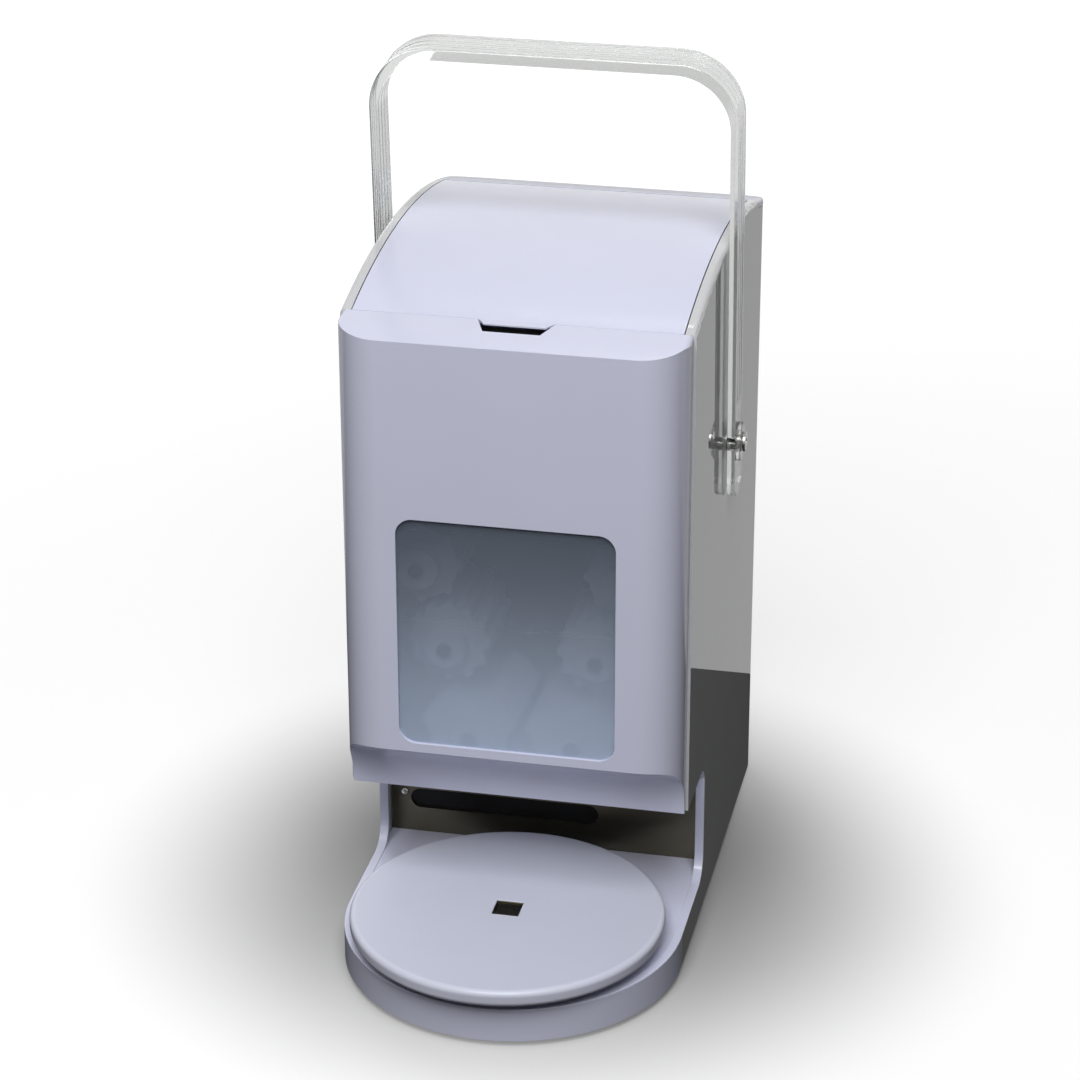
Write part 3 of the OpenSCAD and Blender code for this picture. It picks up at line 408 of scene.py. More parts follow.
def facing_out(mesh: Mesh) -> Mesh:
    """Turn a closed mesh's faces outwards, and return it."""
    bmesh.ops.recalc_face_normals(mesh, faces=mesh.faces)
    return mesh


def corner_row(mesh: Mesh, outline: Iterable[Spot], z: float) -> list[Corner]:
    """Add the corners of an outline in X and Y to a mesh at one height, and return them."""
    return [mesh.verts.new((x, y, z)) for x, y in outline]


def wall_in(mesh: Mesh, rows: Sequence[Sequence[Corner]]) -> None:
    """Join each closed row of corners to the next one with four-sided faces.

    Args:
        mesh: The mesh to add to.
        rows: Rows with equally many corners.
    """
    for first, second in zip(rows, rows[1:]):
        for i, corner in enumerate(first):
            j = (i + 1) % len(first)
            mesh.faces.new((corner, first[j], second[j], second[i]))


def scaled(outline: Iterable[Spot], share: float) -> list[Spot]:
    """Return an outline drawn in towards the origin, to a share of its size."""
    return [(x * share, y * share) for x, y in outline]


def box_plan(left: float, right: float, near: float, far: float) -> list[Spot]:
    """Return the corners of a rectangle, from its limits in X and in Y."""
    return [(left, near), (right, near), (right, far), (left, far)]


def spun(profile: Sequence[Spot], steps: int, ring: bool = False) -> Mesh:
    """Spin a profile of radius and height about the Z axis.

    Args:
        profile: Points from the axis out and back to the axis.
        steps: How many faces go round.
        ring: Whether the profile is a closed loop clear of the axis.

    Returns:
        A closed solid of revolution in millimetres.
    """
    mesh = bmesh.new()
    points = [mesh.verts.new((r, 0.0, z)) for r, z in profile]
    edges = [mesh.edges.new(pair) for pair in zip(points, points[1:])]
    if ring:
        edges.append(mesh.edges.new((points[-1], points[0])))
    bmesh.ops.spin(mesh, geom=points + edges, cent=(0, 0, 0), axis=(0, 0, 1),
                   angle=math.tau, steps=steps, use_merge=True)
    bmesh.ops.remove_doubles(mesh, verts=mesh.verts, dist=0.0005)
    return facing_out(mesh)


def arc(centre: Spot, radius: float, start: float, end: float, steps: int = 8) -> list[Spot]:
    """Return points along an arc.

    Args:
        centre: The arc's centre.
        radius: Its radius.
        start: The angle where it starts, in degrees.
        end: The angle where it ends, in degrees.
        steps: How many equal parts it has.

    Returns:
        The points, one more than the parts.
    """
    turns = (math.radians(start + (end - start) * i / steps) for i in range(steps + 1))
    return [(centre[0] + radius * math.cos(t), centre[1] + radius * math.sin(t)) for t in turns]


def joined(meshes: Iterable[Mesh]) -> Mesh:
    """Gather several meshes, which are freed, into one."""
    whole = bmesh.new()
    for mesh in meshes:
        part = bpy.data.meshes.new("part")
        mesh.to_mesh(part)
        mesh.free()
        whole.from_mesh(part)
        bpy.data.meshes.remove(part)
    return whole


def moved(mesh: Mesh, place: Point, turn: Matrix | None = None) -> Mesh:
    """Turn a mesh about the origin, then carry it to a place.

    Args:
        mesh: The mesh.
        place: Where the origin goes.
        turn: The rotation, if it is turned.

    Returns:
        The same mesh.
    """
    matrix = Matrix.Translation(place)
    if turn is not None:
        matrix = matrix @ turn.to_4x4()
    bmesh.ops.transform(mesh, matrix=matrix, verts=mesh.verts)
    return mesh


def prism(outline: Sequence[Spot], low: float, high: float) -> Mesh:
    """Extrude an outline in X and Y.

    Args:
        outline: Places in X and Y.
        low: The height where it starts.
        high: The height where it ends.

    Returns:
        The closed solid.
    """
    mesh = bmesh.new()
    face = mesh.faces.new(corner_row(mesh, outline, low))
    top = bmesh.ops.extrude_face_region(mesh, geom=[face])
    rising = [item for item in top["geom"] if isinstance(item, bmesh.types.BMVert)]
    bmesh.ops.translate(mesh, verts=rising, vec=(0, 0, high - low))
    return facing_out(mesh)


@dataclass(frozen=True)
class CrossScrew:
    """A pan-head screw with a cross recess, drawn head upwards on the plane that it holds.

    The flat's share is of the head's radius, the arm's and the slot's are of the flat, and the
    floor's is of the head's height. The recess tapers to a share of its width.
    """

    head_radius: float
    head_height: float
    shank_radius: float
    shank_length: float
    rim_height: float = 0.3
    flat_share: float = 0.62
    arm_share: float = 0.86
    slot_share: float = 0.24
    floor_share: float = 0.3
    taper: float = 0.7
    crown_steps: int = 6
    steps: int = 32

    def mesh(self) -> Mesh:
        """Build the screw with its recess."""
        flat = self.head_radius * self.flat_share
        bend = self.head_radius - flat
        rise = self.head_height - self.rim_height
        crown = [(r, self.rim_height + z * rise / bend)
                 for r, z in arc((flat, 0.0), bend, 0, 90, self.crown_steps)]
        profile = [(0.0, -self.shank_length), (self.shank_radius, -self.shank_length),
                   (self.shank_radius, 0.0), (self.head_radius, 0.0), *crown]
        mesh = spun(profile, self.steps)
        rim = [edge for edge in mesh.edges if edge.is_boundary]
        arm, half = flat * self.arm_share, flat * self.slot_share
        plan = [(half, half), (half, arm), (-half, arm), (-half, half), (-arm, half),
                (-arm, -half), (-half, -half), (-half, -arm), (half, -arm), (half, -half),
                (arm, -half), (arm, half)]
        upper = corner_row(mesh, plan, self.head_height)
        lower = corner_row(mesh, scaled(plan, self.taper), self.head_height * self.floor_share)
        lips = [mesh.edges.new(pair) for pair in zip(upper, upper[1:] + upper[:1])]
        bmesh.ops.triangle_fill(mesh, use_beauty=True, edges=rim + lips)
        wall_in(mesh, (upper, lower))
        mesh.faces.new(lower)
        return facing_out(mesh)


@dataclass
class BayRim:
    """The white rim round the side openings and the nose of the base."""

    deck: float = 19.5
    top: float = 91.0
    rear: float = 88.0
    turn: float = 14.0
    turn_steps: int = 12
    inner: float = 90.0
    outer: float = 94.9
    nose_y: float = 18.0
    nose_steps: int = 60
    proud: float = 0.5
    sunk: float = 0.3

    def build(self) -> None:
        """Sweep the rim's section from the right post round the nose to the left post."""
        mesh = bmesh.new()
        rows = [self._row(mesh, *station) for station in self._stations()]
        wall_in(mesh, rows)
        mesh.faces.new(rows[0])
        mesh.faces.new(rows[-1])
        Piece("bay_rim", "white_gloss", "housing", edge=0.25, edge_segments=2,
              edge_angle=40).place(facing_out(mesh))

    def _row(self, mesh: Mesh, near: Vector, far: Vector, out: Vector) -> list[Corner]:
        """Add the four corners of the section at one station.

        Args:
            mesh: The mesh to add to.
            near: The inner point on the surface.
            far: The outer point on the surface.
            out: Which way the surface faces.

        Returns:
            The corners.
        """
        return [mesh.verts.new(p) for p in (near - out * self.sunk, far - out * self.sunk,
                                            far + out * self.proud, near + out * self.proud)]

    def _stations(self) -> list[tuple[Vector, Vector, Vector]]:
        """Return inner point, outer point and outward direction along the whole rim."""
        side: list[tuple[float, float, Vector]] = [(self.rear, self.top, Vector((0, -1, 0)))]
        mid_y, mid_z = self.rear - self.turn, self.deck + self.turn
        for y, z in arc((mid_y, mid_z), self.turn, 0, -90, self.turn_steps):
            side.append((y, z, Vector((0, mid_y - y, mid_z - z)).normalized()))
        right = [(Vector((self.inner, y, z)), Vector((self.outer, y, z)), n) for y, z, n in side]
        nose = []
        base = Vector((0, self.nose_y, self.deck))
        for step in range(self.nose_steps + 1):
            turn = math.radians(-180 * step / self.nose_steps)
            ray = Vector((math.cos(turn), math.sin(turn), 0))
            nose.append((base + ray * self.inner, base + ray * self.outer, Vector((0, 0, 1))))
        flip = Matrix.Diagonal((-1, 1, 1))
        left = [(flip @ a, flip @ b, flip @ n) for a, b, n in reversed(right)]
        return right + nose + left


@dataclass
class Casing:
    """The white hood, roof, side panels and base, with the steel plate behind the turntable."""

    panel_edge: float = 0.5
    hood_edge: float = 1.5
    lid_edge: float = 0.35
    plate_edge: float = 0.2

    def build(self) -> None:
        """Build every shell of the casing."""
        for piece in (
            Piece("hood_shell", "white_gloss", "cover", ("front_cover",), self.hood_edge),
            Piece("lid_shell", "white_gloss", "lid", ("lid",), self.lid_edge),
            Piece("roof_strip", "white_gloss", "housing", ("roof_cap",), self.panel_edge),
            Piece("left_panel", "side_gloss", "housing", ("side_panel_left",), self.panel_edge),
            Piece("right_panel", "side_gloss", "housing", ("side_panel_right",), self.panel_edge),
            Piece("rear_wall", "side_gloss", "housing", ("rear_panel",), self.panel_edge),
            Piece("base_shell", "white_gloss", "housing", ("base_tray",), self.panel_edge),
            Piece("steel_plate", "plate_steel", "housing", ("back_plate",), self.plate_edge),
            Piece("window_sheet", "frosted_pane", "cover", ("window_pane",), 0.3),
        ):
            if piece.name == "lid_shell":
                piece.place(LidShape().mesh(), in_drawing=False)
            else:
                piece.place_node()


@dataclass
class LidShape:
    """The lid with a thinner, narrower finger tab and a little more room at its sides."""

    tab_root: float = 31.1
    tab_edge: float = 0.8
    tab_narrow: float = 0.965
    side_from: float = 88.0
    side_more: float = 0.35
    row: float = 0.3
    skin: float = 1.0

    def mesh(self) -> Mesh:
        """Return the lid's mesh, in metres of the part's frame."""
        mesh = merged_copy("lid")
        self._thin_tab(mesh)
        for vert in mesh.verts:
            if abs(vert.co.x) > self.side_from * MILLIMETRE:
                vert.co.x -= math.copysign(self.side_more * MILLIMETRE, vert.co.x)
        return mesh

    def _thin_tab(self, mesh: Mesh) -> None:
        """Taper the finger tab towards its front edge, from below, and narrow it."""
        root = machine_point(0, self.tab_root, 0).y
        tab = [vert for vert in mesh.verts if vert.co.y < root]
        for vert in tab:
            top = max(other.co.z for other in tab
                      if abs(other.co.y - vert.co.y) < self.row * MILLIMETRE)
            if vert.co.z < top - self.skin * MILLIMETRE:
                vert.co.z = top - self.tab_edge * MILLIMETRE
        for vert in tab:
            vert.co.x *= self.tab_narrow


@dataclass
class Seams:
    """What shows in the seams round the lid: dark strips, the soft seal and the dark recess.

    Drops are depths under the lid's surface, the roof's values are its circle in the side view,
    and the recess shade's half width, slant, rear and front are those of the finger recess. The
    dark strips and the dark shell in the finger recess are painted shade, standing for the shade
    deep in the side seams and in the recess.
    """

    strip_near: float = 88.5
    strip_far: float = 88.9
    strip_drops: Spot = (1.3, 2.4)
    strip_start: float = 33.0
    strip_pitch: float = 5.1
    strip_steps: int = 40
    roof_r: float = 450.0
    roof_mid: Spot = (140.0, -65.3)
    seal_ends: Spot = (22.5, 84.0)
    seal_depth: Spot = (31.05, 32.4)
    seal_drops: Spot = (2.2, 0.9)
    seam_z: float = 371.4
    recess_shade_half: float = 20.4
    recess_shade_slant: float = 5.6
    recess_shade_rear: float = 30.9
    recess_shade_front: float = 18.4
    recess_shade_heights: tuple[float, float, float] = (363.03, 367.13, 363.43)
    recess_shade_share: float = 0.97
    recess_shade_gap: float = 0.3

    def build(self) -> None:
        """Build the recess's painted shade, the seal and the seams' painted shade strips."""
        self._shade_recess()
        self._seal()
        self._seam_shade_strips()

    def _seam_shade_strips(self) -> None:
        """Stand a dark strip deep in each of the lid's two side seams: painted shade in the seams.
        """
        Piece("seam_painted_shade_strips", "black_plastic", "housing", edge=0.0).place(
            joined([self._seam_shade_strip(side) for side in (-1, 1)]))

    def _seam_shade_strip(self, side: int) -> Mesh:
        """Sweep the left strip for side -1, or the right one for 1, along the roof's circle."""
        mesh = bmesh.new()
        near, far = side * self.strip_near, side * self.strip_far
        high, low = self.strip_drops
        rows = []
        for step in range(self.strip_steps + 1):
            y = self.strip_start + self.strip_pitch * step
            crown = self.roof_mid[1] + math.sqrt(self.roof_r ** 2 - (y - self.roof_mid[0]) ** 2)
            rows.append([mesh.verts.new((x, y, crown - drop)) for x, drop in (
                (near, high), (far, high), (far, low), (near, low))])
        wall_in(mesh, rows)
        mesh.faces.new(rows[0])
        mesh.faces.new(rows[-1])
        return facing_out(mesh)

    def _shade_recess(self) -> None:
        """Set a dark shell of black plastic in the finger recess: painted shade, where deep shade
        falls.
        """
        half, rear, front = self.recess_shade_half, self.recess_shade_rear, self.recess_shade_front
        narrow = half - self.recess_shade_slant
        plan = [(-half, rear), (-narrow, front), (narrow, front), (half, rear)]
        share = self.recess_shade_share
        inside = [(x * share, share * (y - rear) + rear - self.recess_shade_gap) for x, y in plan]
        low, high, floor = self.recess_shade_heights
        mesh = bmesh.new()
        rings = [corner_row(mesh, outline, z) for outline, z in (
            (plan, low), (plan, high), (inside, high), (inside, floor))]
        mesh.faces.new(rings[0])
        mesh.faces.new(rings[-1])
        wall_in(mesh, rings)
        Piece("recess_painted_shade", "black_plastic", "cover", edge=0.15).place(facing_out(mesh))

    def _seal(self) -> None:
        """Lay the soft strip that the closed lid rests on, just under its front seam."""
        low, high = (self.seam_z - drop for drop in self.seal_drops)
        strips = []
        for side in (-1, 1):
            left, right = sorted(side * end for end in self.seal_ends)
            strips.append(prism(box_plan(left, right, *self.seal_depth), low, high))
        Piece("lid_seal", "white_gloss", "lid", edge=0.3).place(joined(strips))


@dataclass
class Carrier:
    """The clear bail handle with its caps and pivot screws."""

    strap_edge: float = 0.5

    def build(self) -> None:
        """Build the strap, the caps and the screws."""
        Piece("handle_bail", "clear_handle", "handle", ("handle_strap",),
              self.strap_edge).place_node()
        Piece("handle_discs", "clear_handle", "handle", ("handle_caps",),
              self.strap_edge).place_node()
        Piece("pivot_screws", "screw_metal", "housing", ("handle_screws",), 0.3).place_node()


@dataclass
class Fasteners:
    """Screws of the steel plate, the rear wall and the feet.

    Each screw of a set is turned further than the one before, by the set's angle in radians.
    """

    plate_y: float = 104.0
    plate_turn: float = 0.5
    plate_spots: tuple[Spot, ...] = ((-84.2, 45.2), (84.2, 64.2), (84.0, 150), (-84.0, 150),
                                     (30, 238), (-30, 238), (9, 156), (-9, 156))
    rear_x: float = 52.4
    rear_turn: float = 0.7
    rear_heights: tuple[float, ...] = (18.0, 170.0, 339.36)
    foot_z: float = -2.0
    foot_turn: float = 0.4

    def build(self) -> None:
        """Build the three sets of screws."""
        self._place("plate_screw_set", "plate_screws", CrossScrew(2.5, 1.6, 1.45, 8.0), TO_FRONT, [
            ((x, self.plate_y, z), self.plate_turn * i)
            for i, (x, z) in enumerate(self.plate_spots)])
        self._place("rear_screw_set", "rear_screws", CrossScrew(3.0, 1.5, 1.45, 8.0), TO_REAR, [
            ((side * self.rear_x, WALL_BACK, z), self.rear_turn * i)
            for i, z in enumerate(self.rear_heights) for side in (-1, 1)])
        self._place("foot_screw_set", "foot_screws", CrossScrew(3.0, 1.5, 1.45, 7.6), TO_FLOOR, [
            ((x, y, self.foot_z), self.foot_turn * i) for i, (x, y) in enumerate(FOOT_SPOTS)])

    @staticmethod
    def _place(name: str, node: str, screw: CrossScrew, facing: Matrix,
               seats: list[tuple[Point, float]]) -> None:
        """Place one set of screws.

        Args:
            name: The piece's name.
            node: The node that it stands for.
            screw: The screw.
            facing: Which way the heads face.
            seats: Each screw's place, and its turn about its own axis.
        """
        heads = [moved(screw.mesh(), spot, facing @ Matrix.Rotation(turn, 3, "Z"))
                 for spot, turn in seats]
        Piece(name, "screw_metal", "housing", (node,), 0.0).place(joined(heads))


@dataclass
class Feet:
    """Four rubber feet with two grip grooves each."""

    radius: float = 9.0
    height: float = 4.0
    well: float = 4.0
    well_depth: float = 2.0
    bore: float = 1.5
    groove: float = 0.5
    groove_tops: Spot = (-0.9, -2.4)
    groove_slant: float = 0.2
    groove_width: float = 0.8
    narrower: float = 0.1
    corner: float = 0.8
    tread: Spot = (5.8, 6.8)
    tread_depth: float = 0.4
    steps: int = 48

    def build(self) -> None:
        """Spin one foot's section for each of its places."""
        r, h, slant = self.radius, self.height, self.groove_slant
        near, far = self.tread
        roof = -h + self.tread_depth
        middle = (r - self.narrower - self.corner, -h + self.corner)
        upper, lower = self.groove_tops
        section = [(self.bore, 0.0), (r, 0.0), *self._groove(upper, r),
                   *self._groove(lower, r - self.narrower), *arc(middle, self.corner, 0, -90, 5),
                   (far, -h), (far - slant, roof), (near + slant, roof), (near, -h),
                   (self.well, -h), (self.well, -h + self.well_depth),
                   (self.bore, -h + self.well_depth)]
        feet = [moved(spun(section, self.steps, ring=True), (x, y, 0)) for x, y in FOOT_SPOTS]
        Piece("rubber_feet", "foot_rubber", "housing", ("feet",), 0.0).place(joined(feet))

    def _groove(self, top: float, below: float) -> list[Spot]:
        """Return a groove's section.

        Args:
            top: The height where it starts.
            below: The foot's radius under it.

        Returns:
            Four points of radius and height.
        """
        floor, end = self.radius - self.groove, top - self.groove_width
        return [(self.radius, top), (floor, top - self.groove_slant),
                (floor, end + self.groove_slant), (below, end)]


@dataclass
class Controls:
    """Rocker, start button, size dial and the power socket on the rear wall.

    The rocker's slope is how far its face falls over how long a run.
    """

    height: float = 120.0
    offset: float = 34.0
    rocker_y: float = 285.0
    rocker_tilt: float = 8.0
    rocker_slope: Spot = (2.5, 9.4)
    rocker_face: float = 7.22
    mark_z: float = 4.7
    mark_depth: float = 0.12
    bar_half: Spot = (0.35, 1.6)
    ring_radii: Spot = (1.15, 1.65)
    collar_radii: Spot = (8.5, 10.8)
    collar_bend: float = 0.5
    tick_start: float = 13.6
    tick_ends: Spot = (16.0, 17.5)
    tick_half: float = 0.3
    tick_depth: float = 0.15
    tick_count: int = 10
    tick_first: float = 225.0
    tick_pitch: float = 30.0
    inlet_z: float = 46.0
    inlet_proud: float = 1.0
    blade_spots: tuple[Spot, ...] = ((-6.0, 0.0), (6.0, 0.0), (0.0, 3.5))
    blade_half: Spot = (1.15, 3.15)
    blade_reach: Spot = (-15.8, -1.2)

    def build(self) -> None:
        """Build the controls with their marks."""
        for piece in (
            Piece("rocker_key", "black_plastic", "rocker", ("power_rocker",), 0.5),
            Piece("start_cap", "button_green", "button", ("start_button",), 0.8),
            Piece("dial_knob", "black_plastic", "dial", ("size_dial",), 0.3),
            Piece("power_socket", "black_plastic", "housing", ("power_inlet",), 0.4),
        ):
            piece.place_node()
        self._rocker_marks()
        self._button_ring()
        self._dial_scale()
        self._blades()

    def _rocker_marks(self) -> None:
        """Put the on bar and the off ring on the rocker's two faces."""
        x, y = self.bar_half
        bar = prism(box_plan(-x, x, -y, y), 0.0, self.mark_depth)
        near, far = self.ring_radii
        off = spun(box_plan(near, far, 0.0, self.mark_depth), 32, ring=True)
        slope = math.degrees(math.atan2(*self.rocker_slope))
        tilt = Matrix.Rotation(math.radians(self.rocker_tilt), 3, "X")
        marks = []
        for mesh, z, lean in ((bar, self.mark_z, -slope), (off, -self.mark_z, slope)):
            face = Matrix.Rotation(math.radians(-90 + lean), 3, "X")
            moved(mesh, (0, self.rocker_face, z), face)
            marks.append(moved(mesh, (-self.offset, self.rocker_y, self.height), tilt))
        Piece("rocker_marks", "roller_white", "rocker", edge=0.0).place(joined(marks))

    def _button_ring(self) -> None:
        """Seat the button in a bright ring."""
        near, far = self.collar_radii
        bend = self.collar_bend
        section = [(near, 0.0), (far, 0.0), *arc((far - bend, bend), bend, 0, 90, 4),
                   *arc((near + bend, bend), bend, 90, 180, 4)]
        mesh = moved(spun(section, 64, ring=True), (0, WALL_BACK, self.height), TO_REAR)
        Piece("button_ring", "screw_metal", "housing", edge=0.0).place(mesh)

    def _dial_scale(self) -> None:
        """Set a scale of ticks round the dial, longer at both ends."""
        ticks = []
        for step in range(self.tick_count):
            far = self.tick_ends[step in (0, self.tick_count - 1)]
            tick = prism(box_plan(self.tick_start, far, -self.tick_half, self.tick_half), 0.0,
                         self.tick_depth)
            angle = math.radians(self.tick_first - self.tick_pitch * step)
            turn = TO_REAR @ Matrix.Rotation(angle, 3, "Z")
            ticks.append(moved(tick, (self.offset, WALL_BACK, self.height), turn))
        Piece("dial_scale", "black_plastic", "housing", edge=0.0).place(joined(ticks))

    def _blades(self) -> None:
        """Stand the three metal blades in the socket."""
        w, h = self.blade_half
        blades = []
        for x, z in self.blade_spots:
            outline = [(a, -b) for a, b in box_plan(x - w, x + w, z - h, z + h)]
            blades.append(moved(prism(outline, *self.blade_reach),
                                (0, WALL_BACK + self.inlet_proud, self.inlet_z), TO_REAR))
        Piece("socket_blades", "screw_metal", "housing", edge=0.5).place(joined(blades))


@dataclass
class Rollers:
    """The six rollers behind the window, and the shafts that turn them."""

    edge: float = 0.6
    shaft_edge: float = 0.2

    def build(self) -> None:
        """Round the rollers' and the shafts' edges."""
        for side in ("left", "right"):
            for kind in ("forming", "feed", "agitator"):
                body = f"{kind}_{side}"
                Piece(f"{kind}_drum_{side}", "roller_white", body, (f"{kind}_roller_{side}",),
                      self.edge).place_node()
                Piece(f"{kind}_axle_{side}", "bright_steel", body, (f"{kind}_shaft_{side}",),
                      self.shaft_edge, 2).place_node()


@dataclass
class Machinery:
    """What lies inside: hopper, plates, motors, pulleys, belts, gears, bushes and boards."""

    rounding: dict[str, float] = field(default_factory=lambda: {
        "hopper": 0.5, "roller_guard": 0.3, "guard_posts": 0.25, "bearing_plate": 0.2,
        "plate_spacers": 0.25, "base_plate": 0.2, "roller_motor": 0.6, "table_motor": 0.5,
        "motor_bracket": 0.3, "table_bush": 0.25, "table_belt": 0.25, "roller_bushes": 0.2,
        "drive_belt_left": 0.25, "drive_belt_right": 0.25, "control_board": 0.1,
        "power_supply": 0.3, "sensor_window": 0.2, "sensor_board": 0.1,
        "control_switches": 0.25, "motor_pinion": 0.15, "motor_pulley": 0.2,
        "table_pulley": 0.2, "hinge_brackets": 0.2, "lid_pins": 0.15, "cover_catches": 0.2,
    })

    def build(self) -> None:
        """Round the edges of every inner part."""
        slots = {part["node"]: part["material_slot"] for part in frame["record"]["subparts"]}
        for node, edge in self.rounding.items():
            body = frame["nodes"][node]["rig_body"]
            Piece(f"{node}_form", slots[node], body, (node,), edge, 2).place_node()


@dataclass
class Turntable:
    """The round white table with the steel socket at its middle.

    Shares are of the square hole, and drops are depths under the table's top.
    """

    radius: float = 87.4
    centre_y: float = 1.0
    bottom: float = 26.3
    thickness: float = 10.0
    rim: float = 3.5
    rim_steps: int = 8
    ring_radii: Spot = (12.0, 60.0)
    hole: float = 7.5
    plug_share: float = 0.88
    plug_drops: Spot = (3.0, 1.0)
    sleeve_shares: Spot = (0.985, 0.9)
    sleeve_drops: Spot = (2.9, 0.25)
    level: float = 0.001
    steps: int = 160

    def build(self) -> None:
        """Build the table, its socket, its plug and its hub."""
        Piece("turntable_disc", "turntable_satin", "turntable", ("turntable",), 0.4).place(
            self._seated(self._table()))
        Piece("table_socket", "plate_steel", "turntable", edge=0.15).place(
            self._seated(self._sleeve()))
        low, high = (self.thickness - drop for drop in self.plug_drops)
        Piece("table_plug", "plate_steel", "turntable", edge=0.3).place(
            self._seated(prism(scaled(self._hole_plan(), self.plug_share), low, high)))
        Piece("table_hub", "plate_steel", "turntable", ("turntable_hub",), 0.3).place_node()

    def _seated(self, mesh: Mesh) -> Mesh:
        """Carry a mesh from the table's own frame to its place, and return it."""
        return moved(mesh, (0, self.centre_y, self.bottom))

    def _hole_plan(self) -> list[Spot]:
        """Return the corners of the square hole."""
        return box_plan(-self.hole, self.hole, -self.hole, self.hole)

    def _table(self) -> Mesh:
        """Spin the rounded rim, and fill its two faces in to the square hole."""
        inner, top = self.radius - self.rim, self.thickness - self.rim
        near, far = self.ring_radii
        section = [(near, 0.0), (far, 0.0),
                   *arc((inner, self.rim), self.rim, -90, 0, self.rim_steps),
                   *arc((inner, top), self.rim, 0, 90, self.rim_steps),
                   (far, self.thickness), (near, self.thickness)]
        mesh = spun(section, self.steps)
        rims = [edge for edge in mesh.edges if edge.is_boundary]
        levels = []
        for z in (0.0, self.thickness):
            square = corner_row(mesh, self._hole_plan(), z)
            loop = [mesh.edges.new(pair) for pair in zip(square, square[1:] + square[:1])]
            ring = [edge for edge in rims if abs(edge.verts[0].co.z - z) < self.level]
            bmesh.ops.triangle_fill(mesh, use_beauty=True, edges=ring + loop)
            levels.append(square)
        wall_in(mesh, levels)
        return facing_out(mesh)

    def _sleeve(self) -> Mesh:
        """Line the square hole with a steel sleeve."""
        outer, inner = (scaled(self._hole_plan(), share) for share in self.sleeve_shares)
        low, high = (self.thickness - drop for drop in self.sleeve_drops)
        mesh = bmesh.new()
        rings = [corner_row(mesh, outline, z) for outline, z in (
            (outer, low), (outer, high), (inner, high), (inner, low))]
        wall_in(mesh, rings + rings[:1])
        return facing_out(mesh)


def stage_object(name: str, mesh: Mesh) -> bpy.types.Object:
    """Turn a mesh in metres, which is freed, into an object that belongs to the studio."""
    data = bpy.data.meshes.new(name)
    mesh.to_mesh(data)
    mesh.free()
    thing = bpy.data.objects.new(name, data)
    bpy.context.scene.collection.objects.link(thing)
    return thing


@dataclass(frozen=True)
class Card:
    """A flat card on the floor beside the object, which only mirrored rays find.

    Its reach is from the nearer to the farther limit in Y, in metres, and its glow is how bright
    it looks in what mirrors it. The card is a painted reflection: it glows though it is no lamp,
    and only the glossy faces show it.
    """

    name: str
    near: float
    far: float
    glow: float
    half_width: float = 3.0
    height: float = 0.0003

    def build(self) -> None:
        """Lay the card in the studio."""
        mesh = bmesh.new()
        plan = box_plan(-self.half_width, self.half_width, self.near, self.far)
        mesh.faces.new(corner_row(mesh, plan, self.height))
        card = stage_object(self.name, mesh)
        card.visible_camera = False
        card.visible_diffuse = False
        card.visible_volume_scatter = False
        card.visible_shadow = False
        card.visible_transmission = False
        material, output = empty_material(self.name)
        tree = material.node_tree
        # Painted reflection: a glow that only mirrored rays find.
        light = add_node(tree, "Emission", {"Color": WHITE, "Strength": self.glow})
        feed(tree, output, {"Surface": light.outputs["Emission"]})
        card.data.materials.append(material)


@dataclass(frozen=True)
class Lamp:
    """A square soft box that points at the machine. Lengths are in metres, its power in watts."""

    name: str
    place: Point
    size: float
    power: float
    mirrored: bool = True
    target: Point = (0.0, 0.0, 0.2)

    def build(self) -> None:
        """Hang the lamp in the studio."""
        data = bpy.data.lights.new(self.name, "AREA")
        data.size = self.size
        data.energy = self.power
        lamp = bpy.data.objects.new(self.name, data)
        lamp.location = self.place
        aim = Vector(self.target) - Vector(self.place)
        lamp.rotation_euler = aim.to_track_quat("-Z", "Y").to_euler()
        lamp.visible_glossy = self.mirrored
        bpy.context.scene.collection.objects.link(lamp)


